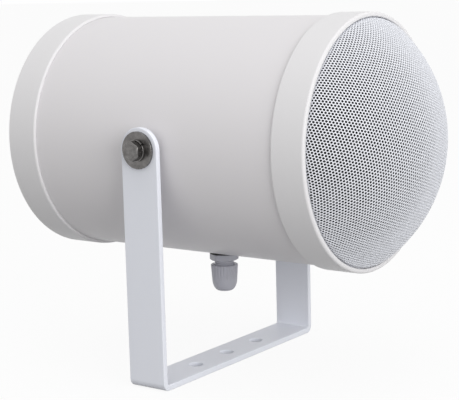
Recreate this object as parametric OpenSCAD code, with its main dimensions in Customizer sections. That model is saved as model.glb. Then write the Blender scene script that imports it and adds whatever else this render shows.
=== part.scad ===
// Sound projector: a loudspeaker in a round tube that tilts in a U-shaped bracket.
// Millimetres. X runs along the tube towards the grille, Y along the pivot bolts, Z up.
// The origin is the centre of the bracket's base, on its underside.

/* [Tube] */
// Outer diameter of the tube
tube_d = 135; // [128:0.5:140]
// Wall of the tube
tube_wall = 3; // [2.5:0.1:3.5]
// Length of the housing over its two end pieces
housing_len = 200; // [190:1:214]
// Gap left for glue between two pieces that slide into each other
glue_gap = 0.1; // [0.05:0.05:0.15]

/* [End pieces] */
// Length of the collar of each end piece
collar_len = 20; // [14:0.5:28]
// Wall of the collar, outside the tube
collar_wall = 1.6; // [1.2:0.1:2.4]
// Thickness of the rear cap's end plate
cap_plate_t = 3; // [2:0.1:4]
// Thickness of the front ring's lip
lip_t = 3; // [2:0.1:4]
// How far the lip reaches in past the outside of the tube
lip_inset = 0.9; // [0.6:0.1:1.4]
// Rounding of the front ring's edges
ring_round = 1.3; // [0.4:0.1:1.4]
// Rounding of the rear cap's front edge
cap_front_round = 1; // [0.4:0.1:1.4]
// Rounding of the rear cap's rear edge
cap_rear_round = 0.6; // [0.3:0.1:1.4]

/* [Grille] */
// Thickness of the perforated sheet
grille_t = 1; // [0.8:0.1:1.2]
// How far the dome stands out of the front ring
dome_rise = 33.6; // [28:0.1:38]
// Radius of the bend between the dome and its skirt
bend_r = 4; // [3:0.1:6]
// Depth of the bend's lower end behind the front ring's face
bend_drop = 0.75; // [0.5:0.05:1.5]
// Open slit between the skirt and the lip
skirt_gap = 0.6; // [0.3:0.1:1]
// Diameter of one perforation
hole_d = 6; // [3:0.1:7]
// Distance between neighbouring perforations
hole_pitch = 12.3; // [12:0.1:16]
// Thickness of the black cloth behind the sheet
cloth_t = 0.5; // [0.3:0.1:1]

/* [Bracket] */
// Width of the steel strap
strap_w = 24; // [20:0.5:30]
// Thickness of the steel strap
strap_t = 3.2; // [2.5:0.1:4]
// Free space between the tube and each arm
arm_gap = 3.3; // [2.5:0.1:5]
// Height of the pivot bolts above the base's underside
pivot_h = 131; // [130:0.5:150]
// Inside radius of the two bends
strap_bend = 1.2; // [0.8:0.1:3]
// Diameter of the three fixing holes
base_hole_d = 8; // [5:0.5:9]
// Distance between neighbouring fixing holes
base_hole_pitch = 30; // [24:1:40]

/* [Pivot bolts] */
// Diameter of the bolt's shank
bolt_d = 6; // [5:0.5:8]
// Length of the shank under the head
bolt_len = 20; // [18:0.5:24]
// Width of the hexagonal head across its flats
head_af = 10; // [9:0.5:12]
// Height of the head
head_h = 4; // [3:0.1:5]
// Diameter of the wide flat washer
washer_d = 20; // [16:0.5:22]
// Thickness of the wide flat washer
washer_t = 1.6; // [1:0.1:2]
// Diameter of the split spring washer
spring_d = 11.8; // [11:0.1:13]
// Thickness of the split spring washer
spring_t = 1.6; // [1:0.1:2]
// Width of the spring washer's split
split_w = 0.8; // [0.5:0.1:1.2]
// Diameter of the spacer between the tube and the arm
spacer_d = 16; // [14:0.5:18]
// Side of the square nut plate inside the tube
nut_plate_w = 20; // [16:0.5:22]
// Thickness of the nut plate at its middle
nut_plate_t = 5; // [4:0.5:7]
// Running gap between the bolt and the arm's hole
pivot_clear = 0.08; // [0.05:0.01:0.1]
// Side play between the arm and the pieces that turn against it
pivot_play = 0.05; // [0.03:0.01:0.1]

/* [Cable gland] */
// Diameter of the gland's upper thread
gland_thread_d = 12; // [11:0.5:14]
// Width of the gland's hexagons across their flats
gland_af = 15; // [14.5:0.5:18]
// Height of the outer hexagon
gland_hex_h = 3.9; // [3:0.1:6]
// Thickness of the rubber washer under the tube
gland_washer_t = 1.2; // [1:0.1:2]
// Diameter of the rubber washer
gland_washer_d = 16.4; // [15:0.1:18]
// Length of the thread that reaches up into the tube
gland_stub = 12; // [11:0.5:15]
// Diameter of the neck that carries the dome nut
neck_d = 11.4; // [11:0.1:12]
// Length of the neck below the hexagon
neck_len = 9; // [8:0.5:10]
// Bare neck between the hexagon and the dome nut
neck_bare = 2.5; // [1:0.1:3]
// Largest diameter of the dome nut
gland_nut_d = 15.7; // [15:0.1:18]
// Height of the dome nut
gland_nut_h = 15.4; // [14:0.1:18]
// Height of the dome nut's rounded lower end
nut_dome_h = 7; // [5:0.5:8]
// Diameter of the dome nut's hole for the cable
nut_mouth_d = 7; // [6.8:0.1:8]
// Number of grip grooves around the dome nut
grip_count = 24; // [12:1:28]
// Diameter of the rubber seal
seal_d = 9.4; // [9:0.1:9.6]
// Length of the rubber seal
seal_len = 8; // [6:0.5:9]
// Diameter of the seal's hole for the cable
seal_bore_d = 6.5; // [4:0.5:7]
// Height of the locknut inside the tube
locknut_h = 5; // [4:0.1:5.5]
// Gap in the gland's threads
gland_clear = 0.05; // [0.03:0.01:0.1]

/* [Driver] */
// Setback of the baffle's front face from the front of the tube
baffle_setback = 6; // [5:0.1:8]
// Thickness of the baffle
baffle_t = 5; // [4:0.5:8]
// Thickness of the foam gasket
gasket_t = 1; // [0.8:0.1:2]
// Room between the driver's frame and the tube
driver_margin = 5.5; // [3:0.5:8]
// Width of the frame's rim outside the cone
driver_rim = 15; // [14:0.5:18]
// Room between the frame and the edge of the baffle's hole
baffle_clear = 0.8; // [0.4:0.1:1.2]
// Sheet thickness of the frame
basket_t = 1.2; // [1:0.1:1.5]
// Depth of the frame behind its flange
basket_depth = 34; // [32:0.5:38]
// Number of windows in the frame
window_count = 6; // [4:1:8]
// Height of the spider's seat above the back of the frame
seat_rise = 4; // [3:0.5:6]
// Height of the cone's neck above the spider's seat
neck_rise = 3.8; // [3:0.1:5]
// Thickness of the paper cone
cone_t = 0.7; // [0.5:0.1:1]
// Radius of the surround's roll
roll_r = 3; // [2.8:0.1:3.2]
// Thickness of the surround and of the spider
soft_t = 0.6; // [0.4:0.1:0.8]
// Outer diameter of the voice coil's tube
former_d = 25.4; // [25:0.1:26]
// Thickness of the winding on that tube
winding_t = 0.6; // [0.4:0.1:0.8]
// Length of the winding beyond each side of the front plate
winding_over = 2; // [1.5:0.1:2.5]
// Length of the voice coil's tube ahead of the cone's neck
former_ahead = 2.5; // [2:0.1:3]
// Diameter of the dust cap
dust_cap_d = 34; // [32:0.5:40]
// Height of the dust cap
dust_cap_h = 6; // [4:0.5:9]
// Number of driver screws
driver_screw_count = 4; // [3:1:8]

/* [Magnet system] */
// Diameter of the ferrite ring
magnet_d = 72; // [66:0.5:80]
// Thickness of the ferrite ring
magnet_t = 12; // [10:0.5:16]
// Diameter of the steel plates
plate_d = 68; // [66:0.5:72]
// Thickness of the front plate
top_plate_t = 4; // [4:0.5:6]
// Thickness of the rear plate
yoke_t = 5; // [4:0.5:8]
// Step from the air gap out to the ferrite ring's bore
magnet_step = 4; // [3:0.5:6]
// Air gap on each side of the voice coil
coil_gap = 0.4; // [0.3:0.05:0.5]

/* [Transformer] */
// Width of the laminated core
core_w = 57; // [54:0.5:60]
// Height of the laminated core
core_h = 47.5; // [45:0.5:50]
// Stack of laminations
core_stack = 22; // [18:0.5:26]
// Height of the bosses that carry it
boss_h = 5; // [4:0.5:8]
// Distance from the side of the core to each screw
foot_out = 7.5; // [6:0.5:9]
// Sheet thickness of its clamp
clamp_t = 1; // [0.8:0.1:1.5]

/* [Wiring] */
// Diameter of one insulated lead
lead_d = 2.2; // [1.8:0.1:2.2]
// Gap around a lead in its clip
clip_clear = 0.1; // [0.1:0.05:0.2]

/* [Hidden] */
$fn = 96;
// Facets of a large cylinder that shapes a small piece
fine = 360;
// Overshoot of a cutting shape past the face that it cuts
cut = 1;

// Tube and end pieces, along the sound axis from the pivot
tube_r = tube_d / 2;
tube_in_r = tube_r - tube_wall;
front_x = housing_len / 2;
rear_x = -front_x;
tube_front = front_x - lip_t - grille_t;
tube_rear = rear_x + cap_plate_t;
collar_in_r = tube_r + glue_gap;
collar_r = collar_in_r + collar_wall;
lip_r = tube_r - lip_inset;

// Dome of the grille
skirt_r = lip_r - skirt_gap;
bend_out = skirt_r - bend_r;
bend_x = front_x - bend_drop;
bend_to_top = dome_rise + bend_drop;
dome_r = (pow(bend_out, 2) + pow(bend_to_top, 2) - pow(bend_r, 2)) / (2 * (bend_to_top - bend_r));
dome_x = front_x + dome_rise - dome_r;
bend_angle = asin(bend_out / (dome_r - bend_r));
flange_r = tube_r - 2 * glue_gap;
// Largest arc from the dome's middle at which a perforation still clears the bend
hole_reach = dome_r * bend_angle * PI / 180 - hole_d / 2 - grille_t;

// Bracket
arm_in_y = tube_r + arm_gap;
arm_out_y = arm_in_y + strap_t;
bend_out_r = strap_bend + strap_t;
shank_r = bolt_d / 2;
arm_hole_r = shank_r + pivot_clear;

// Pivot stack, outwards from the tube's axis
washer_y = arm_out_y + pivot_play;
spring_y = washer_y + washer_t;
head_y = spring_y + spring_t;
split_turn = 35;

// Cable gland, upwards from the base
tube_low_z = pivot_h - tube_r;
gland_seat_z = tube_low_z - gland_washer_t;
hex_low_z = gland_seat_z - gland_hex_h;
nut_top_z = hex_low_z - neck_bare;
nut_low_z = nut_top_z - gland_nut_h;
neck_low_z = hex_low_z - neck_len;
gland_bore_r = 4.2;
slit_w = 0.8;
slit_l = 4;
nut_taper = 0.55;
nut_round = 0.4;
grip_r = 0.6;
grip_out = 0.25;
gland_thread_r = gland_thread_d / 2;
gland_across = gland_af / cos(30);
locknut_z = pivot_h - sqrt(pow(tube_in_r, 2) - pow(gland_across / 2, 2)) + gland_clear;

// Driver, along the sound axis
baffle_front = tube_front - baffle_setback;
gasket_front = baffle_front + gasket_t;
flange_front = gasket_front + basket_t;
basket_rear = gasket_front - basket_depth;
seat_x = basket_rear + seat_rise;
seat_front = seat_x + basket_t;
driver_r = tube_in_r - driver_margin;
window_margin = 3;
cone_r = driver_r - driver_rim;
roll_mid_r = cone_r + roll_r;
cone_rim = 2.6;
surround_in_r = cone_r - cone_rim;
flange_in_r = roll_mid_r + roll_r - 0.4;
basket_mouth_r = flange_in_r + baffle_clear;
baffle_hole_r = basket_mouth_r + baffle_clear;
surround_lip = 2.4;
surround_out_r = roll_mid_r + roll_r + surround_lip;
former_r = former_d / 2;
former_t = 0.2;
winding_r = former_r + winding_t;
pole_r = former_r - former_t - coil_gap;
gap_r = winding_r + coil_gap;
cone_neck_r = former_r + glue_gap;
cone_lip_x = flange_front - cone_t;
cone_neck_x = seat_front + neck_rise;
cone_neck_top = cone_neck_x + 1.4 * cone_t;
former_front = cone_neck_x + former_ahead;
plate_front = basket_rear;
plate_rear = plate_front - top_plate_t;
magnet_rear = plate_rear - magnet_t;
yoke_rear = magnet_rear - yoke_t;
winding_x = plate_rear - winding_over;
winding_len = top_plate_t + 2 * winding_over;
seat_in_r = 26;
seat_out_r = 33;
spider_out_r = seat_out_r - 2;
screw_circle_r = driver_r - 3;

// Transformer, along the sound axis
core_rear = tube_rear + boss_h;
leg = core_w / 6;
window_l = core_h - 2 * leg;
coil_play = 0.3;
coil_half_w = 2 * leg - coil_play;
coil_half_t = core_stack / 2 + leg - coil_play;
coil_l = window_l - 2 * coil_play;
foot_y = core_w / 2 + foot_out;
foot_reach = 6;

// Small screws of the driver and the transformer
screw_r = 1.5;
screw_hole_r = 1.6;
screw_pass_r = 1.8;
screw_head_r = 3;
screw_head_t = 2;
screw_dome_r = 5;

// Terminals: how far out from the sound axis they start, and their sizes
strip_in = seat_in_r + basket_t + 0.4;
tab_up = magnet_d / 2 + 3;
strip_len = tab_up - strip_in + 2.6;
strip_w = 18;
strip_t = 1.5;
tab_w = 2.8;
tab_t = 0.8;
tab_l = 8;
tab_y = 5;
block_in = 30;
block_w = 14;
block_l = 32;
block_h = 13;
block_hole_r = 2;
block_floor = 3;

// Wiring: hand-chosen points beside the sound axis, as [up, left, forward] from the pivot
sides = 8;
lead_seat = 0.3;
lead_up = tube_in_r - 4;
lead_side = 1.8;
coil_up = coil_half_t + lead_seat;
coil_x = core_rear + 0.7 * core_h;
tab_x = seat_x - tab_l - lead_seat;
speaker_route = [[coil_up, tab_y, coil_x], [coil_up + 5, tab_y, coil_x],
    [coil_up + 15, tab_y, coil_x + 2], [lead_up - 14, 4, coil_x + 7],
    [lead_up - 6, 3, coil_x + 14], [lead_up - 1, 2, coil_x + 23],
    [lead_up, lead_side, -26], [lead_up, lead_side, -14], [lead_up, lead_side, 0],
    [lead_up, lead_side, 14], [lead_up, lead_side, 24], [lead_up - 1, 2, tab_x - 20],
    [lead_up - 6, 3, tab_x - 12], [lead_up - 14, 4, tab_x - 8], [tab_up + 2, tab_y, tab_x - 4],
    [tab_up, tab_y, tab_x]];
block_x = tube_rear + block_h + lead_seat;
line_side = 6;
line_x = core_rear + core_h / 2;
line_route = [[coil_up, line_side, line_x], [coil_up + 5, line_side, line_x],
    [coil_up + 10, line_side, line_x - 2], [block_in + 5, line_side, block_x + 9],
    [block_in + 7, line_side, block_x + 5], [block_in + 7, line_side, block_x]];
clip_x = 18;
clip_l = 8;
clip_w = 12;
clip_grip = 2;

// Points of a smooth curve through the hand-chosen ones
function blend_point(a, b, c, d, t) = 0.5 * (2 * b + (c - a) * t
    + (2 * a - 5 * b + 4 * c - d) * t * t + (3 * b - a - 3 * c + d) * t * t * t);
function at_end(p, i) = p[max(0, min(len(p) - 1, i))];
function smooth(p, steps) = concat([for (i = [0 : len(p) - 2], k = [0 : steps - 1])
    blend_point(at_end(p, i - 1), p[i], p[i + 1], at_end(p, i + 2), k / steps)], [p[len(p) - 1]]);
function unit(v) = v / norm(v);
function heading(p, i) = unit(at_end(p, i + 1) - at_end(p, i - 1));
function ring_of(p, i, r) = let (t = heading(p, i), u = unit(cross(t, [0, 1, 0])), v = cross(t, u))
    [for (k = [0 : sides - 1]) p[i] + r * (cos(360 * k / sides) * u + sin(360 * k / sides) * v)];

// A round lead swept along a list of points
module lead(p, r) {
    n = len(p);
    walls = [for (i = [0 : n - 2], k = [0 : sides - 1])
        [i * sides + k, (i + 1) * sides + k, (i + 1) * sides + (k + 1) % sides,
        i * sides + (k + 1) % sides]];
    first = [for (k = [0 : sides - 1]) k];
    last = [for (k = [sides - 1 : -1 : 0]) (n - 1) * sides + k];
    polyhedron([for (i = [0 : n - 1]) each ring_of(p, i, r)], concat(walls, [first, last]));
}

// Turns local Z to the sound axis, with local X pointing down
module on_axis() {
    translate([0, 0, pivot_h]) rotate([0, 90, 0]) children();
}

// Turns local Z outwards along one pivot bolt
module on_pivot(side) {
    translate([0, 0, pivot_h]) rotate([-90 * side, 0, 0]) children();
}

// The sliver outside a rounded corner, for cutting
module corner(r) {
    difference() {
        square(r + cut);
        circle(r);
    }
}

// Section of a band around the sound axis, with its two outer edges rounded
module band(r_in, r_out, x0, x1, round0, round1) {
    difference() {
        translate([r_in, x0]) square([r_out - r_in, x1 - x0]);
        translate([r_out - round1, x1 - round1]) corner(round1);
        translate([r_out - round0, x0 + round0]) mirror([0, 1]) corner(round0);
    }
}

// Ring with square edges
module ring(r_in, r_out, x0, x1) {
    difference() {
        translate([0, 0, x0]) cylinder(h = x1 - x0, r = r_out);
        translate([0, 0, x0 - cut]) cylinder(h = x1 - x0 + 2 * cut, r = r_in);
    }
}

// Hexagonal prism by its width across flats
module hexagon(af, h) {
    rotate([0, 0, 30]) cylinder(h = h, d = af / cos(30), $fn = 6);
}

// Filled section of the dome and its skirt, set in from the outer face
module dome_section(inset, back) {
    intersection() {
        translate([0, dome_x]) circle(r = dome_r - inset);
        polygon([[0, dome_x], [0, dome_x + 2 * dome_r],
            [2 * dome_r * sin(bend_angle), dome_x + 2 * dome_r],
            [2 * dome_r * sin(bend_angle), dome_x + 2 * dome_r * cos(bend_angle)]]);
        translate([0, back]) square([2 * dome_r, 2 * dome_r]);
    }
    intersection() {
        translate([bend_out, bend_x]) circle(r = bend_r - inset);
        translate([0, back]) square([2 * dome_r, 2 * dome_r]);
    }
    translate([0, back]) square([skirt_r - inset, bend_x - back]);
}

// Bracket: one steel strap bent to a U, with round arm ends
module strap_section() {
    translate([-arm_out_y + bend_out_r, 0]) square([2 * (arm_out_y - bend_out_r), strap_t]);
    for (side = [-1, 1]) {
        mirror([side < 0 ? 1 : 0, 0]) {
            translate([arm_in_y, bend_out_r]) square([strap_t, pivot_h + strap_w - bend_out_r]);
            translate([arm_out_y - bend_out_r, bend_out_r]) intersection() {
                difference() {
                    circle(r = bend_out_r);
                    circle(r = strap_bend);
                }
                translate([0, -bend_out_r]) square(bend_out_r);
            }
        }
    }
}

module u_bracket() {
    color("whitesmoke") difference() {
        intersection() {
            translate([strap_w / 2, 0, 0]) rotate([90, 0, -90]) mirror([1, 0, 0])
                linear_extrude(strap_w) strap_section();
            rotate([90, 0, 0]) linear_extrude(2 * (arm_out_y + cut), center = true) union() {
                translate([-strap_w / 2, -cut]) square([strap_w, pivot_h + cut]);
                translate([0, pivot_h]) circle(d = strap_w);
            }
        }
        for (k = [-1 : 1]) {
            translate([0, k * base_hole_pitch, -cut]) cylinder(h = strap_t + 2 * cut, d = base_hole_d);
        }
        for (side = [-1, 1]) {
            on_pivot(side) translate([0, 0, arm_in_y - cut])
                cylinder(h = strap_t + 2 * cut, r = arm_hole_r);
        }
    }
}

module housing_tube() {
    color("gainsboro") difference() {
        on_axis() ring(tube_in_r, tube_r, tube_rear, tube_front);
        for (side = [-1, 1]) {
            on_pivot(side) translate([0, 0, tube_in_r - nut_plate_t])
                cylinder(h = tube_wall + 2 * nut_plate_t, r = shank_r + glue_gap);
        }
        translate([0, 0, tube_low_z - cut]) cylinder(h = tube_wall + 3 * cut, r = gland_thread_r + glue_gap);
    }
}

module rear_cap() {
    color("whitesmoke") on_axis() difference() {
        union() {
            difference() {
                rotate_extrude() band(0, collar_r, rear_x, rear_x + collar_len, cap_rear_round,
                    cap_front_round);
                translate([0, 0, tube_rear]) cylinder(h = collar_len, r = collar_in_r);
            }
            for (side = [-1, 1]) {
                translate([0, side * foot_y, tube_rear - cut])
                    cylinder(h = boss_h + cut, r = screw_head_r + 1);
            }
        }
        for (side = [-1, 1]) {
            translate([0, side * foot_y, tube_rear])
                cylinder(h = boss_h + cut, r = screw_hole_r);
        }
    }
}

module front_ring() {
    color("whitesmoke") on_axis() difference() {
        rotate_extrude() difference() {
            band(lip_r, collar_r, front_x - collar_len, front_x, ring_round, ring_round);
            translate([lip_r + ring_round / 2, front_x - ring_round / 2]) mirror([1, 0])
                corner(ring_round / 2);
        }
        translate([0, 0, front_x - collar_len - cut])
            cylinder(h = collar_len - lip_t + cut, r = collar_in_r);
    }
}

// One perforation, square to the dome, at an arc and a direction from its middle
module perforation(arc, turn) {
    translate([0, 0, dome_x]) rotate([0, 0, turn]) rotate([0, arc / dome_r * 180 / PI, 0])
        translate([0, 0, dome_r - 2 * grille_t]) cylinder(h = 3 * grille_t, d = hole_d);
}

module grille() {
    steps = ceil(hole_reach / hole_pitch) + 1;
    color("white") on_axis() difference() {
        union() {
            rotate_extrude() difference() {
                dome_section(0, tube_front);
                dome_section(grille_t, tube_front - cut);
            }
            ring(skirt_r - grille_t, flange_r, tube_front, tube_front + grille_t);
        }
        for (i = [-2 * steps : 2 * steps], j = [-steps : steps]) {
            u = hole_pitch * (i + j / 2);
            v = hole_pitch * j * sqrt(3) / 2;
            arc = norm([u, v]);
            if (arc < hole_reach) perforation(arc, atan2(v, u));
        }
    }
}

module grille_cloth() {
    color("black") on_axis() rotate_extrude() difference() {
        dome_section(grille_t + glue_gap, tube_front + glue_gap);
        dome_section(grille_t + glue_gap + cloth_t, tube_front - cut);
    }
}

module baffle() {
    color("dimgray") on_axis() difference() {
        ring(baffle_hole_r, tube_in_r - glue_gap, baffle_front - baffle_t, baffle_front);
        screw_places() translate([0, 0, baffle_front - baffle_t - cut])
            cylinder(h = baffle_t + 2 * cut, r = screw_hole_r);
    }
}

module screw_places() {
    for (k = [0 : driver_screw_count - 1]) {
        rotate([0, 0, 45 + 360 * k / driver_screw_count]) translate([screw_circle_r, 0, 0]) children();
    }
}

module driver_gasket() {
    color("black") on_axis() difference() {
        ring(baffle_hole_r + glue_gap, driver_r, baffle_front, gasket_front);
        screw_places() translate([0, 0, baffle_front - cut])
            cylinder(h = gasket_t + 2 * cut, r = screw_pass_r);
    }
}

module driver_basket() {
    color("slategray") on_axis() difference() {
        rotate_extrude() polygon([[gap_r + 1, basket_rear], [seat_in_r + basket_t, basket_rear],
            [seat_in_r + basket_t, seat_x], [seat_out_r, seat_x], [basket_mouth_r, gasket_front],
            [driver_r, gasket_front], [driver_r, flange_front], [flange_in_r, flange_front],
            [seat_out_r - 0.7, seat_front], [seat_in_r, seat_front],
            [seat_in_r, basket_rear + basket_t], [gap_r + 1, basket_rear + basket_t]]);
        for (k = [0 : window_count - 1]) {
            rotate([0, 0, 360 * (k + 0.5) / window_count]) translate([0, 0, seat_front + window_margin])
                linear_extrude(gasket_front - seat_front - 3 * window_margin) polygon([[seat_in_r / 2, 0],
                [driver_r, -driver_r * tan(120 / window_count)],
                [driver_r, driver_r * tan(120 / window_count)]]);
        }
        screw_places() translate([0, 0, gasket_front - cut])
            cylinder(h = basket_t + 2 * cut, r = screw_pass_r);
    }
}

module surround() {
    color("black") on_axis() rotate_extrude() {
        translate([surround_in_r, flange_front]) square([cone_r - surround_in_r + soft_t / 2, soft_t]);
        translate([roll_mid_r + roll_r - soft_t / 2, flange_front])
            square([surround_out_r - roll_mid_r - roll_r + soft_t / 2, soft_t]);
        translate([roll_mid_r, flange_front]) intersection() {
            difference() {
                circle(r = roll_r + soft_t / 2);
                circle(r = roll_r - soft_t / 2);
            }
            translate([-2 * roll_r, 0]) square([4 * roll_r, 2 * roll_r]);
        }
    }
}

module cone() {
    color("dimgray") on_axis() rotate_extrude() polygon([[cone_neck_r, cone_neck_x],
        [cone_r - cone_rim + cone_t, cone_lip_x], [cone_r, cone_lip_x], [cone_r, flange_front],
        [cone_r - cone_rim, flange_front],
        [cone_neck_r, cone_neck_top]]);
}

module dust_cap() {
    cap_r = dust_cap_d / 2;
    ball_r = (cap_r * cap_r + dust_cap_h * dust_cap_h) / (2 * dust_cap_h);
    slope = (flange_front - cone_neck_top) / (surround_in_r - cone_neck_r);
    base_x = cone_neck_top + slope * (cap_r - cone_neck_r) + glue_gap;
    color("black") on_axis() intersection() {
        translate([0, 0, base_x + dust_cap_h - ball_r]) difference() {
            sphere(r = ball_r);
            sphere(r = ball_r - soft_t);
        }
        translate([0, 0, base_x]) cylinder(h = 2 * dust_cap_h, r = dust_cap_d);
    }
}

module spider() {
    waves = 4;
    steps = 40;
    depth = 1.1;
    inner_r = former_r + glue_gap;
    function wave_r(k) = inner_r + (seat_in_r - inner_r) * k / steps;
    function wave_x(k) = seat_front + depth * (1 - cos(360 * waves * k / steps)) / 2;
    color("goldenrod") on_axis() rotate_extrude() polygon(concat(
        [for (k = [0 : steps]) [wave_r(k), wave_x(k)]], [[spider_out_r, seat_front],
        [spider_out_r, seat_front + soft_t]],
        [for (k = [steps : -1 : 0]) [wave_r(k), wave_x(k) + soft_t]]));
}

module voice_coil() {
    color("peru") on_axis() {
        ring(former_r - former_t, former_r, winding_x - winding_t, former_front);
        ring(former_r, winding_r, winding_x, winding_x + winding_len);
    }
}

module top_plate() {
    color("silver") on_axis() ring(gap_r, plate_d / 2, plate_rear, plate_front);
}

module magnet() {
    color("#303030") on_axis() ring(gap_r + magnet_step, magnet_d / 2, magnet_rear, plate_rear);
}

module yoke() {
    color("silver") on_axis() {
        translate([0, 0, yoke_rear]) cylinder(h = yoke_t, r = plate_d / 2);
        translate([0, 0, yoke_rear]) cylinder(h = plate_front - yoke_rear, r = pole_r);
    }
}

// Stands on the back of the frame's seat, above the magnet
module terminal_strip() {
    color("saddlebrown") on_axis() difference() {
        translate([-strip_in - strip_len, -strip_w / 2, seat_x - strip_t])
            cube([strip_len, strip_w, strip_t]);
        for (side = [-1, 1]) {
            translate([-tab_up - tab_t / 2, side * tab_y - tab_w / 2, seat_x - 2 * strip_t])
                cube([tab_t, tab_w, 3 * strip_t]);
        }
    }
}

module terminal_tabs() {
    color("gold") on_axis() for (side = [-1, 1]) {
        translate([-tab_up - tab_t / 2, side * tab_y - tab_w / 2, seat_x - tab_l])
            cube([tab_t, tab_w, tab_l]);
    }
}

module driver_screws() {
    color("silver") on_axis() screw_places() {
        translate([0, 0, flange_front]) intersection() {
            cylinder(h = screw_head_t, r = screw_head_r);
            translate([0, 0, screw_head_t - screw_dome_r]) sphere(r = screw_dome_r);
        }
        translate([0, 0, baffle_front - baffle_t])
            cylinder(h = flange_front - baffle_front + baffle_t, r = screw_r);
    }
}

module transformer_core() {
    color("dimgray") on_axis() difference() {
        translate([-core_stack / 2, -core_w / 2, core_rear]) cube([core_stack, core_w, core_h]);
        for (side = [-1, 1]) {
            translate([-core_stack, side * 1.5 * leg - leg / 2, core_rear + leg])
                cube([2 * core_stack, leg, window_l]);
        }
    }
}

module transformer_coil() {
    color("peru") on_axis() difference() {
        translate([-coil_half_t, -coil_half_w, core_rear + leg + coil_play])
            cube([2 * coil_half_t, 2 * coil_half_w, coil_l]);
        translate([-core_stack / 2 - coil_play, -leg - coil_play, core_rear])
            cube([core_stack + 2 * coil_play, 2 * leg + 2 * coil_play, core_h]);
    }
}

module transformer_clamp() {
    color("silver") on_axis() difference() {
        union() {
            difference() {
                translate([-core_stack / 2, -core_w / 2 - clamp_t, core_rear])
                    cube([core_stack, core_w + 2 * clamp_t, core_h + clamp_t]);
                translate([-core_stack, -core_w / 2, core_rear - cut])
                    cube([2 * core_stack, core_w, core_h + cut]);
            }
            for (side = [-1, 1]) {
                mirror([0, side < 0 ? 1 : 0, 0]) translate([-core_stack / 2, core_w / 2, core_rear])
                    cube([core_stack, foot_y + foot_reach - core_w / 2, clamp_t]);
            }
        }
        for (side = [-1, 1]) {
            translate([0, side * foot_y, core_rear - cut])
                cylinder(h = clamp_t + 2 * cut, r = screw_pass_r);
        }
    }
}

module transformer_screws() {
    color("silver") on_axis() for (side = [-1, 1]) {
        translate([0, side * foot_y, tube_rear + glue_gap])
            cylinder(h = boss_h + clamp_t, r = screw_r);
        translate([0, side * foot_y, core_rear + clamp_t])
            cylinder(h = screw_head_t, r = screw_head_r);
    }
}

// Stands on the rear cap, below the transformer
module terminal_block() {
    color("ivory") on_axis() difference() {
        translate([block_in, -block_l / 2, tube_rear]) cube([block_w, block_l, block_h]);
        for (k = [-1 : 1]) {
            translate([block_in + 0.7 * block_w, k * block_l / 3, tube_rear + block_floor])
                cylinder(h = block_h, r = block_hole_r);
        }
    }
}

module speaker_leads() {
    color("firebrick") translate([0, 0, pivot_h]) for (side = [-1, 1]) {
        lead(smooth([for (p = speaker_route) [p[2], side * p[1], p[0]]], 2), lead_d / 2);
    }
}

module line_leads() {
    color("royalblue") translate([0, 0, pivot_h]) for (side = [-1, 1]) {
        lead(smooth([for (p = line_route) [p[2], side * p[1], -p[0]]], 2), lead_d / 2);
    }
}

module lead_clips() {
    low = lead_up - lead_d / 2 - clip_grip;
    color("white") for (x = [-clip_x, clip_x]) {
        difference() {
            intersection() {
                translate([x - clip_l / 2, -clip_w / 2, pivot_h + low]) cube([clip_l, clip_w, clip_w]);
                on_axis() cylinder(h = housing_len, r = tube_in_r - glue_gap, center = true, $fn = fine);
            }
            for (side = [-1, 1]) {
                translate([x - clip_l, side * lead_side, pivot_h + lead_up]) rotate([0, 90, 0])
                    cylinder(h = 2 * clip_l, r = lead_d / 2 + clip_clear);
            }
        }
    }
}

// Pivot hardware, the same on both sides
module pivot_bolt() {
    color("silver") {
        translate([0, 0, head_y]) intersection() {
            hexagon(head_af, head_h);
            cylinder(h = head_h, r1 = head_af / 2 + head_h, r2 = head_af / 2 - 0.1);
        }
        translate([0, 0, head_y - bolt_len]) cylinder(h = bolt_len + cut, r = shank_r);
    }
}

module spring_washer() {
    color("silver") difference() {
        ring(shank_r + glue_gap, spring_d / 2, spring_y, head_y);
        rotate([0, 0, split_turn]) translate([0, -split_w / 2, spring_y - cut])
            cube([spring_d, split_w, spring_t + 2 * cut]);
    }
}

module flat_washer() {
    color("silver") ring(shank_r + glue_gap, washer_d / 2, washer_y, spring_y);
}

module pivot_spacer(side) {
    color("dimgray") difference() {
        on_pivot(side) ring(shank_r + glue_gap, spacer_d / 2, tube_in_r, arm_in_y - pivot_play);
        on_axis() cylinder(h = 2 * spacer_d, r = tube_r + glue_gap, center = true, $fn = fine);
    }
}

module nut_plate(side) {
    color("silver") difference() {
        intersection() {
            on_pivot(side) translate([-nut_plate_w / 2, -nut_plate_w / 2, tube_in_r - nut_plate_t])
                cube([nut_plate_w, nut_plate_w, 2 * nut_plate_t]);
            on_axis() cylinder(h = 2 * nut_plate_w, r = tube_in_r - glue_gap, center = true, $fn = fine);
        }
        on_pivot(side) translate([0, 0, tube_in_r - 2 * nut_plate_t])
            cylinder(h = 4 * nut_plate_t, r = shank_r + gland_clear);
    }
}

module pivot_bolt_left() {
    on_pivot(1) pivot_bolt();
}

module pivot_bolt_right() {
    on_pivot(-1) pivot_bolt();
}

module spring_washer_left() {
    on_pivot(1) spring_washer();
}

module spring_washer_right() {
    on_pivot(-1) spring_washer();
}

module flat_washer_left() {
    on_pivot(1) flat_washer();
}

module flat_washer_right() {
    on_pivot(-1) flat_washer();
}

module pivot_spacer_left() {
    pivot_spacer(1);
}

module pivot_spacer_right() {
    pivot_spacer(-1);
}

module nut_plate_left() {
    nut_plate(1);
}

module nut_plate_right() {
    nut_plate(-1);
}

module gland_washer() {
    color("black") difference() {
        ring(gland_thread_r + glue_gap, gland_washer_d / 2, gland_seat_z, tube_low_z + tube_wall);
        on_axis() cylinder(h = 2 * gland_washer_d, r = tube_r + glue_gap, center = true, $fn = fine);
    }
}

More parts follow.
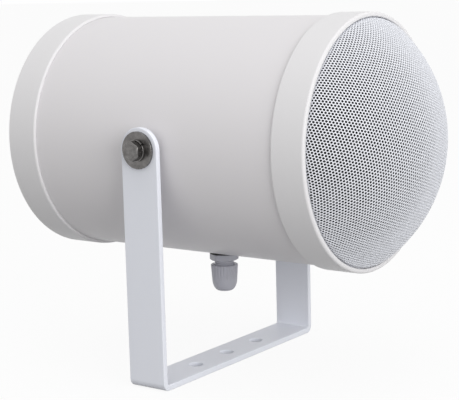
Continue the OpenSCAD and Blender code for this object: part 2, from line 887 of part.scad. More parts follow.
module gland_body() {
    color("silver") difference() {
        union() {
            translate([0, 0, hex_low_z]) hexagon(gland_af, gland_hex_h);
            translate([0, 0, hex_low_z]) cylinder(h = gland_hex_h + gland_stub, r = gland_thread_r);
            translate([0, 0, neck_low_z]) cylinder(h = neck_len + cut, d = neck_d);
        }
        translate([0, 0, neck_low_z - cut])
            cylinder(h = 2 * neck_len + gland_stub + gland_hex_h, r = gland_bore_r);
        translate([0, 0, neck_low_z - cut]) cylinder(h = seal_len + cut, d = seal_d + 2 * glue_gap);
        for (k = [0 : 3]) {
            rotate([0, 0, 45 * k]) translate([-neck_d, -slit_w / 2, neck_low_z - cut])
                cube([2 * neck_d, slit_w, slit_l + cut]);
        }
    }
}

module gland_seal() {
    color("black") ring(seal_bore_d / 2, seal_d / 2, neck_low_z, neck_low_z + seal_len);
}

module gland_nut() {
    nut_r = gland_nut_d / 2;
    mouth_r = nut_mouth_d / 2;
    dome_steps = 12;
    // The lower end curves in from the foot to the mouth as a quarter of an ellipse
    dome = [for (k = [0 : dome_steps])
        [mouth_r + (nut_r - nut_taper - mouth_r) * sin(90 * k / dome_steps),
        nut_low_z + nut_dome_h * (1 - cos(90 * k / dome_steps))]];
    color("silver") difference() {
        rotate_extrude() difference() {
            polygon(concat([[0, nut_low_z]], dome, [[nut_r, nut_top_z - nut_round],
                [nut_r - nut_round, nut_top_z], [0, nut_top_z]]));
            translate([0, neck_low_z - glue_gap]) square([neck_d / 2 + gland_clear, 2 * neck_len]);
            translate([0, nut_low_z - cut]) square([mouth_r, 2 * gland_nut_h]);
        }
        for (k = [0 : grip_count - 1]) {
            rotate([0, 0, 360 * k / grip_count])
                translate([nut_r + grip_out, 0, nut_low_z + 0.4 * gland_nut_h])
                cylinder(h = gland_nut_h, r = grip_r, $fn = 16);
        }
    }
}

module gland_locknut() {
    color("silver") translate([0, 0, locknut_z]) difference() {
        hexagon(gland_af, locknut_h);
        translate([0, 0, -cut]) cylinder(h = locknut_h + 2 * cut, r = gland_thread_r + gland_clear);
    }
}

u_bracket();
housing_tube();
rear_cap();
front_ring();
grille();
grille_cloth();
baffle();
driver_gasket();
driver_basket();
surround();
cone();
dust_cap();
spider();
voice_coil();
top_plate();
magnet();
yoke();
terminal_strip();
terminal_tabs();
driver_screws();
transformer_core();
transformer_coil();
transformer_clamp();
transformer_screws();
terminal_block();
speaker_leads();
line_leads();
lead_clips();
pivot_bolt_left();
pivot_bolt_right();
spring_washer_left();
spring_washer_right();
flat_washer_left();
flat_washer_right();
pivot_spacer_left();
pivot_spacer_right();
nut_plate_left();
nut_plate_right();
gland_washer();
gland_body();
gland_seal();
gland_nut();
gland_locknut();
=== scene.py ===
# Sound projector on a U bracket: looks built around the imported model. The scene is in metres;
# the pieces' sizes are in millimetres and become metres through MM.
import math

import bmesh
import bpy
from mathutils import Matrix, Vector


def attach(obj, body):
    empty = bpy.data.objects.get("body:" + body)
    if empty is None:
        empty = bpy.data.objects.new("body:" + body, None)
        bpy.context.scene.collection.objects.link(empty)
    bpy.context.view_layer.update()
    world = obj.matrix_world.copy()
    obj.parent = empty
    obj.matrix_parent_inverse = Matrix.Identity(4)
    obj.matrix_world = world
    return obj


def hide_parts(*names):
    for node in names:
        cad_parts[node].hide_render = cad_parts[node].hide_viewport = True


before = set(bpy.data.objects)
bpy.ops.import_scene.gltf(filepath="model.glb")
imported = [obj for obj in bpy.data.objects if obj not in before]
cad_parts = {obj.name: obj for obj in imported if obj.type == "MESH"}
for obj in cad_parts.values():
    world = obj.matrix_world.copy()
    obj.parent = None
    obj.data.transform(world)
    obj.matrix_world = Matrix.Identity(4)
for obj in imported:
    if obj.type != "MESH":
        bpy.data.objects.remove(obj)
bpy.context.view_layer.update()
scene = bpy.context.scene


# Studio. A wide white floor in white surroundings, one large soft light overhead and a second
# one on the grille's side. The camera stands to the right, a little above the tube.
def node(tree, kind, inputs=None, **settings):
    """Adds a node, sets it up, and links or fills its inputs."""
    made = tree.nodes.new(kind)
    for key, value in settings.items():
        setattr(made, key, value)
    for key, value in (inputs or {}).items():
        if isinstance(value, bpy.types.NodeSocket):
            tree.links.new(value, made.inputs[key])
        else:
            made.inputs[key].default_value = value
    return made


def soft_light(name, place, target, width, power):
    """A square area light of that width, turned to its target."""
    light = bpy.data.objects.new(name, bpy.data.lights.new(name, "AREA"))
    light.data.shape = "SQUARE"
    light.data.size = width
    light.data.energy = power
    light.location = place
    light.rotation_euler = (Vector(target) - Vector(place)).to_track_quat("-Z", "Y").to_euler()
    scene.collection.objects.link(light)


def seen_rays(tree):
    """1 for rays that show the surroundings: from the camera, in a reflection or through glass."""
    rays = node(tree, "ShaderNodeLightPath").outputs
    direct = node(tree, "ShaderNodeMath", {0: rays["Is Camera Ray"], 1: rays["Is Glossy Ray"]},
                  operation="MAXIMUM")
    return node(tree, "ShaderNodeMath", {0: direct.outputs[0], 1: rays["Is Transmission Ray"]},
                operation="MAXIMUM").outputs[0]


camera = bpy.data.objects.new("camera", bpy.data.cameras.new("camera"))
camera.location = (0.4522, -0.6180, 0.2180)
camera.rotation_euler = [math.radians(angle) for angle in (80.97, 1.57, 35.79)]
camera.data.lens = 105.6
camera.data.shift_x = 0.0076
camera.data.shift_y = -0.0113
scene.collection.objects.link(camera)
scene.camera = camera

middle = (0.0, 0.0, 0.11)
soft_light("overhead", (0.15, -0.30, 1.3), middle, 1.1, 2.0)
soft_light("grille_side", (1.25, -0.50, 0.40), middle, 0.9, 9.5)

world = bpy.data.worlds.new("studio")
world.use_nodes = True
sky = world.node_tree
sky.nodes.clear()
ambient = node(sky, "ShaderNodeBackground", {"Color": (1, 1, 1, 1), "Strength": 0.70})
white = node(sky, "ShaderNodeBackground", {"Color": (1, 1, 1, 1), "Strength": 1.0})
sky_mix = node(sky, "ShaderNodeMixShader", {
    0: seen_rays(sky), 1: ambient.outputs[0], 2: white.outputs[0]})
node(sky, "ShaderNodeOutputWorld", {"Surface": sky_mix.outputs[0]})
scene.world = world
scene.view_settings.view_transform = "Standard"

floor_material = bpy.data.materials.new("white_floor")
floor_material.use_nodes = True
paper = floor_material.node_tree
paper.nodes.clear()
bounce = node(paper, "ShaderNodeMapRange", {"Value": seen_rays(paper), "To Min": 0.35, "To Max": 0.95})
matte = node(paper, "ShaderNodeBsdfDiffuse", {"Color": bounce.outputs[0]})
glow = node(paper, "ShaderNodeEmission", {"Color": (1, 1, 1, 1), "Strength": 1.0})
share = node(paper, "ShaderNodeMath", {0: seen_rays(paper), 1: 0.90}, operation="MULTIPLY")
floor_mix = node(paper, "ShaderNodeMixShader", {
    0: share.outputs[0], 1: matte.outputs[0], 2: glow.outputs[0]})
node(paper, "ShaderNodeOutputMaterial", {"Surface": floor_mix.outputs[0]})
floor_size = 12
floor_drop = 0.0002
corners = [(x * floor_size, y * floor_size, -floor_drop) for x, y in ((-1, -1), (1, -1), (1, 1), (-1, 1))]
floor_mesh = bpy.data.meshes.new("floor")
floor_mesh.from_pydata(corners, [], [(0, 1, 2, 3)])
floor_mesh.materials.append(floor_material)
floor = bpy.data.objects.new("floor", floor_mesh)
scene.collection.objects.link(floor)


# U bracket. One steel strap, punched flat with round ends and five holes, bent up at two
# places and powder coated white. It stands on its base and carries the tube on two bolts.
MM = 0.001
PIVOT_H = 131
STRAP_W = 24
STRAP_T = 3.2
ARM_OUT = 74
BEND_IN = 1.2
BASE_HOLE_R = 4.0
BASE_HOLE_PITCH = 30
ARM_HOLE_R = 3.08
BEND_OUT = BEND_IN + STRAP_T
BEND_MID = BEND_IN + STRAP_T / 2
BEND_LEN = BEND_MID * math.pi / 2
BASE_END = ARM_OUT - BEND_OUT
ARM_START = BASE_END + BEND_LEN


def new_object(name, mesh):
    """A linked object at the origin."""
    obj = bpy.data.objects.new(name, mesh)
    scene.collection.objects.link(obj)
    return obj


def settle(obj):
    """Applies every modifier and leaves a plain mesh."""
    bpy.context.view_layer.update()
    graph = bpy.context.evaluated_depsgraph_get()
    mesh = bpy.data.meshes.new_from_object(obj.evaluated_get(graph))
    obj.modifiers.clear()
    obj.data = mesh
    mesh.name = obj.name


def smooth(obj, sharp=32):
    """Closes the seams, turns the faces outwards and shades all but the sharp edges smooth."""
    shell = bmesh.new()
    shell.from_mesh(obj.data)
    bmesh.ops.remove_doubles(shell, verts=shell.verts, dist=0.002 * MM)
    bmesh.ops.recalc_face_normals(shell, faces=shell.faces)
    shell.to_mesh(obj.data)
    shell.free()
    obj.data.shade_smooth()
    obj.data.set_sharp_from_angle(angle=math.radians(sharp))
    weighted = obj.modifiers.new("normals", "WEIGHTED_NORMAL")
    weighted.keep_sharp = True
    settle(obj)


def shader_group(name, inputs, outputs):
    """A shader node group with its sockets, and its input and output nodes."""
    group = bpy.data.node_groups.new(name, "ShaderNodeTree")
    kinds = {float: "NodeSocketFloat", tuple: "NodeSocketColor", Vector: "NodeSocketVector"}
    for label, value in inputs.items():
        socket = group.interface.new_socket(label, in_out="INPUT", socket_type=kinds[type(value)])
        socket.default_value = value
    for label, kind in outputs.items():
        group.interface.new_socket(label, in_out="OUTPUT", socket_type=kinds[kind])
    return group, node(group, "NodeGroupInput").outputs, node(group, "NodeGroupOutput")


def tint_between(group, first, last, factor):
    """A colour between two others, by a factor from 0 to 1."""
    tint = node(group, "ShaderNodeMix", {"Factor": factor}, data_type="RGBA")
    for key, colour in (("A", first), ("B", last)):
        group.links.new(colour, [s for s in tint.inputs if s.name == key and s.type == "RGBA"][0])
    return [s for s in tint.outputs if s.type == "RGBA"][0]


def skin_group():
    """A moulded or coated surface: faint clouds of shade and a fine grain."""
    group, inputs, end = shader_group(
        "skin", {"Place": Vector(), "Colour": (0.8, 0.8, 0.8, 1.0), "Shade": (0.7, 0.7, 0.7, 1.0),
                 "Clouds": 20.0, "Grain": 900.0, "Rough From": 0.4, "Rough To": 0.5},
        {"Colour": tuple, "Roughness": float, "Height": float})
    clouds = node(group, "ShaderNodeTexNoise", {"Vector": inputs["Place"], "Scale": inputs["Clouds"],
                                                "Detail": 3.0}).outputs["Fac"]
    grain = node(group, "ShaderNodeTexNoise", {"Vector": inputs["Place"], "Scale": inputs["Grain"],
                                               "Detail": 2.0}).outputs["Fac"]
    both = node(group, "ShaderNodeMath", {0: clouds, 1: grain}, operation="ADD")
    rough = node(group, "ShaderNodeMapRange", {"Value": both.outputs[0], "From Min": 0.6, "From Max": 1.4,
                                               "To Min": inputs["Rough From"], "To Max": inputs["Rough To"]})
    group.links.new(tint_between(group, inputs["Colour"], inputs["Shade"], clouds), end.inputs["Colour"])
    group.links.new(rough.outputs[0], end.inputs["Roughness"])
    group.links.new(grain, end.inputs["Height"])
    return group


skin = skin_group()


def material(name, look, values, relief, **plain):
    """A Principled material fed by a shader group; relief is the depth of its grain in millimetres."""
    made = bpy.data.materials.new(name)
    made.use_nodes = True
    tree = made.node_tree
    shader = tree.nodes["Principled BSDF"]
    place = node(tree, "ShaderNodeTexCoord").outputs["Object"]
    effect = node(tree, "ShaderNodeGroup", {"Place": place, **values}, node_tree=look)
    bump = node(tree, "ShaderNodeBump", {"Height": effect.outputs["Height"], "Distance": relief * MM})
    tree.links.new(effect.outputs["Colour"], shader.inputs["Base Color"])
    tree.links.new(effect.outputs["Roughness"], shader.inputs["Roughness"])
    tree.links.new(bump.outputs["Normal"], shader.inputs["Normal"])
    for label, value in plain.items():
        shader.inputs[label.replace("_", " ")].default_value = value
    return made


def place_piece(obj, finish, body, slot, *nodes):
    """Gives a piece its finish and its body and hides the nodes that it stands for; its slot is not used."""
    obj.data.materials.clear()
    obj.data.materials.append(finish)
    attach(obj, body)
    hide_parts(*nodes)


def on_circle(radius, count):
    """Points evenly round a circle."""
    turns = [2 * math.pi * k / count for k in range(count)]
    return [(radius * math.cos(a), radius * math.sin(a)) for a in turns]


def closed_line(shell, points):
    """Edges through flat points and back to the first one."""
    verts = [shell.verts.new((x, y, 0)) for x, y in points]
    return [shell.edges.new((verts[k - 1], verts[k])) for k in range(len(verts))]


def flat_strap():
    """The punched strap before it is bent, its length on the Y axis and its top at height 0."""
    pivot_at = ARM_START + PIVOT_H - BEND_OUT
    end_steps = 32
    hole_steps = 40
    bend_steps = 10
    edge_round = 0.5
    half_turn = [math.pi * k / end_steps for k in range(end_steps + 1)]
    outline = [(STRAP_W / 2 * math.cos(a), pivot_at + STRAP_W / 2 * math.sin(a)) for a in half_turn]
    outline += [(-x, -y) for x, y in outline]
    shell = bmesh.new()
    edges = closed_line(shell, outline)
    for y in (-BASE_HOLE_PITCH, 0, BASE_HOLE_PITCH):
        edges += closed_line(shell, [(px, py + y) for px, py in on_circle(BASE_HOLE_R, hole_steps)])
    for y in (-pivot_at, pivot_at):
        edges += closed_line(shell, [(px, py + y) for px, py in on_circle(ARM_HOLE_R, hole_steps)])
    bmesh.ops.triangle_fill(shell, use_beauty=True, edges=edges)
    for side in (-1, 1):
        for k in range(bend_steps + 1):
            bmesh.ops.bisect_plane(shell, geom=shell.verts[:] + shell.edges[:] + shell.faces[:],
                                   plane_co=(0, side * (BASE_END + BEND_LEN * k / bend_steps), 0),
                                   plane_no=(0, 1, 0))
    made = bmesh.ops.extrude_face_region(shell, geom=shell.faces[:])["geom"]
    lower = [part for part in made if isinstance(part, bmesh.types.BMVert)]
    bmesh.ops.translate(shell, verts=lower, vec=(0, 0, -STRAP_T))
    bmesh.ops.recalc_face_normals(shell, faces=shell.faces)
    sharp = [e for e in shell.edges if len(e.link_faces) == 2 and e.calc_face_angle() > math.radians(60)]
    bmesh.ops.bevel(shell, geom=sharp, offset=edge_round, segments=3, profile=0.5, affect="EDGES")
    return shell


def bent_up(along, height):
    """Where the bends take a point of the flat strap, by its distance from the middle and its height."""
    above = STRAP_T + height
    if along <= BASE_END:
        return along, above
    if along < ARM_START:
        turn = (along - BASE_END) / BEND_MID
        radius = BEND_OUT - above
        return BASE_END + radius * math.sin(turn), BEND_OUT - radius * math.cos(turn)
    return ARM_OUT - above, BEND_OUT + along - ARM_START


def u_bracket():
    """The strap with both its ends bent up."""
    shell = flat_strap()
    for vert in shell.verts:
        side = 1 if vert.co.y > 0 else -1
        y, z = bent_up(abs(vert.co.y), vert.co.z)
        vert.co = Vector((vert.co.x, side * y, z)) * MM
    mesh = bpy.data.meshes.new("u_bracket_coated")
    shell.to_mesh(mesh)
    shell.free()
    return new_object("u_bracket_coated", mesh)


bracket = u_bracket()
smooth(bracket)
bracket_paint = material(
    "bracket_paint", skin, {"Colour": (0.88, 0.90, 0.965, 1), "Shade": (0.855, 0.875, 0.94, 1),
                            "Clouds": 30.0, "Grain": 1500.0, "Rough From": 0.38, "Rough To": 0.50}, 0.012,
    Specular_IOR_Level=0.3)
place_piece(bracket, bracket_paint, "bracket", "bracket_paint", "u_bracket")


# Tube. Extruded plastic pipe, cut to length, with two holes for the pivot bolts and one
# for the cable gland. The two end pieces slide over it and are glued.
TUBE_R = 67.5
TUBE_IN = 64.5
TUBE_REAR = -97
TUBE_FRONT = 96
BOLT_HOLE_R = 3.1
GLAND_HOLE_R = 6.1
DRILL_PAST = 5


def mesh_from_mm(name, verts, faces):
    """A mesh from points in millimetres."""
    mesh = bpy.data.meshes.new(name)
    mesh.from_pydata([[c * MM for c in v] for v in verts], [], faces)
    return mesh


def turned(name, outline, count=224, upright=False):
    """A piece turned from a closed outline of (radius, distance): on the sound axis, or upright."""
    verts, faces = [], []
    for radius, height in outline:
        for across, up in on_circle(radius, count):
            verts.append((across, up, height) if upright else (height, across, PIVOT_H + up))
    rows = len(outline)
    for i in range(rows):
        for k in range(count):
            n = (k + 1) % count
            j = (i + 1) % rows
            faces.append((i * count + k, i * count + n, j * count + n, j * count + k))
    mesh = mesh_from_mm(name, verts, faces)
    shell = bmesh.new()
    shell.from_mesh(mesh)
    bmesh.ops.remove_doubles(shell, verts=shell.verts, dist=0.002 * MM)
    bmesh.ops.dissolve_degenerate(shell, edges=shell.edges, dist=0.001 * MM)
    bmesh.ops.recalc_face_normals(shell, faces=shell.faces)
    shell.to_mesh(mesh)
    shell.free()
    return new_object(name, mesh)


def cut_away(obj, shell):
    """Takes a bmesh shell's space out of an object."""
    mesh = bpy.data.meshes.new("cutter")
    shell.to_mesh(mesh)
    shell.free()
    cutter = new_object("cutter", mesh)
    cut = obj.modifiers.new("cut", "BOOLEAN")
    cut.operation = "DIFFERENCE"
    cut.solver = "EXACT"
    cut.object = cutter
    settle(obj)
    bpy.data.objects.remove(cutter)


def drill(obj, radius, start, end, count=48):
    """Cuts a round hole between two points."""
    axis = (Vector(end) - Vector(start)) * MM
    shell = bmesh.new()
    bmesh.ops.create_cone(shell, cap_ends=True, segments=count, radius1=radius * MM, radius2=radius * MM,
                          depth=axis.length)
    turn = axis.to_track_quat("Z", "Y").to_matrix().to_4x4()
    bmesh.ops.transform(shell, matrix=Matrix.Translation((Vector(start) + Vector(end)) * MM / 2) @ turn,
                        verts=shell.verts)
    cut_away(obj, shell)


tube = turned("tube_extruded", [(TUBE_IN, TUBE_REAR), (TUBE_R, TUBE_REAR), (TUBE_R, 0),
                                (TUBE_R, TUBE_FRONT), (TUBE_IN, TUBE_FRONT), (TUBE_IN, 0)])
drill(tube, BOLT_HOLE_R, (0, -TUBE_R - DRILL_PAST, PIVOT_H), (0, TUBE_R + DRILL_PAST, PIVOT_H))
drill(tube, GLAND_HOLE_R, (0, 0, PIVOT_H - TUBE_R - DRILL_PAST), (0, 0, PIVOT_H - TUBE_IN + 2 * DRILL_PAST))
smooth(tube)
tube_plastic = material(
    "tube_plastic", skin, {"Colour": (0.82, 0.80, 0.815, 1), "Shade": (0.805, 0.785, 0.80, 1),
                           "Clouds": 9.0, "Grain": 700.0, "Rough From": 0.36, "Rough To": 0.44}, 0.004,
    Specular_IOR_Level=0.25)
place_piece(tube, tube_plastic, "housing", "tube_plastic", "housing_tube")


# Rear cap. Moulded plastic cup with two bosses inside for the transformer's screws.
# It slides over the rear of the tube and closes it.
COLLAR_IN = 67.6
COLLAR_R = 69.2
REAR_X = -100
COLLAR_LEN = 20
CAP_PLATE = 3
BOSS_Y = 36
BOSS_R = 4.0
BOSS_H = 5
PILOT_R = 1.6


def arc(centre, radius, start, end, steps=6):
    """Points along an arc, with its angles in degrees from the outline's first axis."""
    angles = [math.radians(start + (end - start) * k / steps) for k in range(steps + 1)]
    return [(centre[0] + radius * math.cos(a), centre[1] + radius * math.sin(a)) for a in angles]


front_round = 1.0
rear_round = 0.6
cap_end = REAR_X + COLLAR_LEN
cap = turned("rear_cap_moulded", [(0, REAR_X)]
             + arc((COLLAR_R - rear_round, REAR_X + rear_round), rear_round, -90, 0)
             + arc((COLLAR_R - front_round, cap_end - front_round), front_round, 0, 90)
             + [(COLLAR_IN, cap_end), (COLLAR_IN, REAR_X + CAP_PLATE), (0, REAR_X + CAP_PLATE)])


def join(obj, *others):
    """Joins other objects' meshes into the first one."""
    shell = bmesh.new()
    shell.from_mesh(obj.data)
    for other in others:
        shell.from_mesh(other.data)
        bpy.data.objects.remove(other)
    shell.to_mesh(obj.data)
    shell.free()


plate_in = REAR_X + CAP_PLATE
boss_root = plate_in - 0.5
boss_outline = [(PILOT_R, boss_root), (BOSS_R, boss_root), (BOSS_R, plate_in + BOSS_H),
                (PILOT_R, plate_in + BOSS_H)]
for side in (-1, 1):
    boss = turned("boss", boss_outline, 48, upright=True)
    beside_axis = Matrix.Translation(Vector((0, side * BOSS_Y, PIVOT_H)) * MM)
    boss.data.transform(beside_axis @ Matrix.Rotation(math.pi / 2, 4, "Y"))
    join(cap, boss)
smooth(cap)
cap_plastic = material(
    "cap_plastic", skin, {"Colour": (0.83, 0.82, 0.83, 1), "Shade": (0.81, 0.80, 0.81, 1),
                          "Clouds": 14.0, "Grain": 900.0, "Rough From": 0.36, "Rough To": 0.44}, 0.005,
    Specular_IOR_Level=0.25)
place_piece(cap, cap_plastic, "housing", "cap_plastic", "rear_cap")


# Front ring. Moulded plastic collar glued over the front of the tube. Its lip reaches in
# past the tube's wall and traps the grille's flange.
FRONT_X = 100
LIP_R = 66.6
LIP_T = 3
ring_round = 1.3
lip_round = ring_round / 2
ring_start = FRONT_X - COLLAR_LEN
ring = turned("front_ring_moulded", [(COLLAR_IN, ring_start)]
              + arc((COLLAR_R - ring_round, ring_start + ring_round), ring_round, -90, 0)
              + arc((COLLAR_R - ring_round, FRONT_X - ring_round), ring_round, 0, 90)
              + arc((LIP_R + lip_round, FRONT_X - lip_round), lip_round, 90, 180)
              + [(LIP_R, FRONT_X - LIP_T), (COLLAR_IN, FRONT_X - LIP_T)])
smooth(ring)
place_piece(ring, cap_plastic, "housing", "cap_plastic", "front_ring")


# Grille. Perforated steel sheet pressed to a dome with a short skirt and a flange, then
# powder coated white. The round holes sit on a fine triangular lattice all over the dome.
GRILLE_T = 1.0
SHEET_T = 0.5
DOME_R = 82.5
DOME_X = 51.1
DOME_BEND = 4.0
DOME_ANGLE = math.radians(52.17)
SKIRT_R = 66.0
DOME_ARC = DOME_R * DOME_ANGLE
DOME_BEND_TURN = math.pi / 2 - DOME_ANGLE
hole_pitch = 1.8
hole_width = 1.34
lattice_turn = math.radians(43)
lattice_reach = 78.1


def geometry_group(name, inputs):
    """A Geometry Nodes tree with one geometry in and out, and its named inputs."""
    tree = bpy.data.node_groups.new(name, "GeometryNodeTree")
    tree.interface.new_socket("Geometry", in_out="INPUT", socket_type="NodeSocketGeometry")
    for label, kind in inputs.items():
        tree.interface.new_socket(label, in_out="INPUT", socket_type="NodeSocket" + kind)
    tree.interface.new_socket("Geometry", in_out="OUTPUT", socket_type="NodeSocketGeometry")
    return tree, node(tree, "NodeGroupInput").outputs


def close_tree(tree, geometry, finish):
    """Ends a tree: real geometry, with its material on it."""
    real = node(tree, "GeometryNodeRealizeInstances", {"Geometry": geometry})
    coated = node(tree, "GeometryNodeSetMaterial", {"Geometry": real.outputs[0], "Material": finish})
    node(tree, "NodeGroupOutput", {"Geometry": coated.outputs[0]})


def grow(obj, tree, values):
    """Runs a tree on an object and keeps the result as a plain mesh."""
    modifier = obj.modifiers.new(tree.name, "NODES")
    modifier.node_group = tree
    for item in tree.interface.items_tree:
        if item.in_out == "INPUT" and item.name in values:
            modifier[item.identifier] = values[item.name]
    settle(obj)


def sums(tree):
    """A short way to write a Math node: do("ADD", a, b) gives its result."""
    def do(operation, *values):
        return node(tree, "ShaderNodeMath", dict(enumerate(values)), operation=operation).outputs[0]
    return do


def point_parts(tree):
    """X, Y and Z of each point of the mesh that a tree works on."""
    place = node(tree, "GeometryNodeInputPosition").outputs[0]
    return node(tree, "ShaderNodeSeparateXYZ", {0: place}).outputs


def from_axis(do, at):
    """A point's distance from the Z axis."""
    return do("SQRT", do("ADD", do("MULTIPLY", at["X"], at["X"]), do("MULTIPLY", at["Y"], at["Y"])))


def perforation_cell():
    """The web around one hole: a strip to three neighbours and the two corners between them."""
    corner_r = hole_width / 2 / math.cos(math.pi / 6)

    def corner(centre, degrees):
        """A corner of the hexagon round a hole, in a direction from its centre."""
        a = math.radians(degrees)
        return (centre[0] + corner_r * math.cos(a), centre[1] + corner_r * math.sin(a), 0)

    def neighbour(degrees):
        """The centre of the next hole in a direction."""
        a = math.radians(degrees)
        return (hole_pitch * math.cos(a), hole_pitch * math.sin(a))

    verts, faces = [], []
    for turn in (0, 60, 120):
        near = (0, 0)
        far = neighbour(turn)
        faces.append(tuple(range(len(verts), len(verts) + 4)))
        verts += [corner(near, turn - 30), corner(far, turn + 210), corner(far, turn + 150),
                  corner(near, turn + 30)]
    for turn in (0, 60):
        faces.append(tuple(range(len(verts), len(verts) + 3)))
        verts += [corner((0, 0), turn + 30), corner(neighbour(turn), turn + 150),
                  corner(neighbour(turn + 60), turn + 270)]
    return new_object("grille_perforated", mesh_from_mm("grille_perforated", verts, faces))


def dome_tree():
    """Lays the cell on a flat lattice, gives it the sheet's thickness and presses it to the dome."""
    tree, inputs = geometry_group("pressed_dome", {
        "Pitch": "Float", "Count": "Int", "Reach": "Float", "Turn": "Float", "Thickness": "Float",
        "Dome Radius": "Float", "Bend Radius": "Float", "Bend Starts": "Float", "Bend Turn": "Float",
        "Middle": "Float", "Height": "Float", "Finish": "Material"})
    do = sums(tree)
    weld = 1e-5
    row_gap = do("MULTIPLY", inputs["Pitch"], math.sqrt(3) / 2)
    last = do("SUBTRACT", inputs["Count"], 1.0)
    grid = node(tree, "GeometryNodeMeshGrid", {
        "Size X": do("MULTIPLY", inputs["Pitch"], last), "Size Y": do("MULTIPLY", row_gap, last),
        "Vertices X": inputs["Count"], "Vertices Y": inputs["Count"]})
    at = point_parts(tree)
    row = do("ROUND", do("DIVIDE", at["Y"], row_gap))
    shift = do("MULTIPLY", do("PINGPONG", row, 1.0), do("MULTIPLY", inputs["Pitch"], 0.5))
    shifted = node(tree, "GeometryNodeSetPosition", {
        "Geometry": grid.outputs[0], "Offset": node(tree, "ShaderNodeCombineXYZ", {"X": shift}).outputs[0]})
    cell_place = node(tree, "GeometryNodeInputPosition").outputs[0]
    length = node(tree, "ShaderNodeVectorMath", {0: cell_place}, operation="LENGTH").outputs["Value"]
    kept = node(tree, "GeometryNodeDeleteGeometry", {
        "Geometry": shifted.outputs[0], "Selection": do("GREATER_THAN", length, inputs["Reach"])})
    cells = node(tree, "GeometryNodeInstanceOnPoints", {
        "Points": kept.outputs[0], "Instance": inputs["Geometry"]})
    real = node(tree, "GeometryNodeRealizeInstances", {"Geometry": cells.outputs[0]})
    turned_by = node(tree, "ShaderNodeCombineXYZ", {"Z": inputs["Turn"]}).outputs[0]
    lattice = node(tree, "GeometryNodeTransform", {"Geometry": real.outputs[0], "Rotation": turned_by})
    sheet = node(tree, "GeometryNodeMergeByDistance", {
        "Geometry": lattice.outputs[0], "Distance": weld}).outputs[0]
    up = node(tree, "ShaderNodeCombineXYZ", {"Z": inputs["Thickness"]}).outputs[0]
    front = node(tree, "GeometryNodeExtrudeMesh", {"Mesh": sheet, "Offset": up, "Offset Scale": 1.0,
                                                   "Individual": False})
    back = node(tree, "GeometryNodeFlipFaces", {0: sheet})
    whole = node(tree, "GeometryNodeJoinGeometry")
    tree.links.new(back.outputs[0], whole.inputs[0])
    tree.links.new(front.outputs[0], whole.inputs[0])
    solid = node(tree, "GeometryNodeMergeByDistance", {
        "Geometry": whole.outputs[0], "Distance": weld}).outputs[0]

    flat = point_parts(tree)
    run = from_axis(do, flat)
    tilt = do("DIVIDE", do("MINIMUM", run, inputs["Bend Starts"]), inputs["Dome Radius"])
    past = do("MAXIMUM", do("SUBTRACT", run, inputs["Bend Starts"]), 0.0)
    bend = do("MINIMUM", do("DIVIDE", past, inputs["Bend Radius"]), inputs["Bend Turn"])
    drop = do("SUBTRACT", past, do("MULTIPLY", bend, inputs["Bend Radius"]))
    lean = do("ADD", tilt, bend)
    depth = do("SUBTRACT", inputs["Thickness"], flat["Z"])
    big = do("SUBTRACT", inputs["Dome Radius"], inputs["Bend Radius"])
    small = do("SUBTRACT", inputs["Bend Radius"], depth)
    radius = do("ADD", do("MULTIPLY", big, do("SINE", tilt)), do("MULTIPLY", small, do("SINE", lean)))
    ahead = do("ADD", do("MULTIPLY", big, do("COSINE", tilt)), do("MULTIPLY", small, do("COSINE", lean)))
    x = do("SUBTRACT", do("ADD", inputs["Middle"], ahead), drop)
    y = do("MULTIPLY", radius, do("DIVIDE", flat["X"], run))
    z = do("ADD", inputs["Height"], do("MULTIPLY", radius, do("DIVIDE", flat["Y"], run)))
    place = node(tree, "ShaderNodeCombineXYZ", {"X": x, "Y": y, "Z": z}).outputs[0]
    pressed = node(tree, "GeometryNodeSetPosition", {"Geometry": solid, "Position": place})
    close_tree(tree, pressed.outputs[0], inputs["Finish"])
    return tree


grille_paint = material(
    "grille_paint", skin, {"Colour": (0.905, 0.92, 0.97, 1), "Shade": (0.88, 0.895, 0.945, 1),
                           "Clouds": 25.0, "Grain": 1800.0, "Rough From": 0.40, "Rough To": 0.50}, 0.006,
    Specular_IOR_Level=0.3)
rows_to_edge = math.ceil(lattice_reach / hole_pitch * 2 / math.sqrt(3))
grille = perforation_cell()
grow(grille, dome_tree(), {
    "Pitch": hole_pitch * MM, "Count": 2 * rows_to_edge + 1, "Reach": lattice_reach * MM,
    "Turn": lattice_turn, "Thickness": SHEET_T * MM, "Dome Radius": DOME_R * MM,
    "Bend Radius": DOME_BEND * MM, "Bend Starts": DOME_ARC * MM, "Bend Turn": DOME_BEND_TURN,
    "Middle": DOME_X * MM, "Height": PIVOT_H * MM, "Finish": grille_paint})
rim_lap = 0.1
rim_in = SKIRT_R - GRILLE_T + rim_lap
rim_out = SKIRT_R - rim_lap
rim_front = FRONT_X - 1
flange_r = TUBE_R - 0.2
flange_front = TUBE_FRONT + GRILLE_T
rim = turned("grille_rim", [(rim_in, TUBE_FRONT), (flange_r, TUBE_FRONT), (flange_r, flange_front),
                            (rim_out, flange_front), (rim_out, rim_front), (rim_in, rim_front)], 128)
join(grille, rim)
grille.data.shade_smooth()
grille.data.set_sharp_from_angle(angle=math.radians(30))
place_piece(grille, grille_paint, "housing", "grille_paint", "grille")


# Grille cloth. Thin black woven cloth, stretched over the inside of the grille and glued to it.
# It keeps dust out and makes the holes look black.
cloth_gap = 0.1
cloth_t = 0.5
cloth_skirt = 3


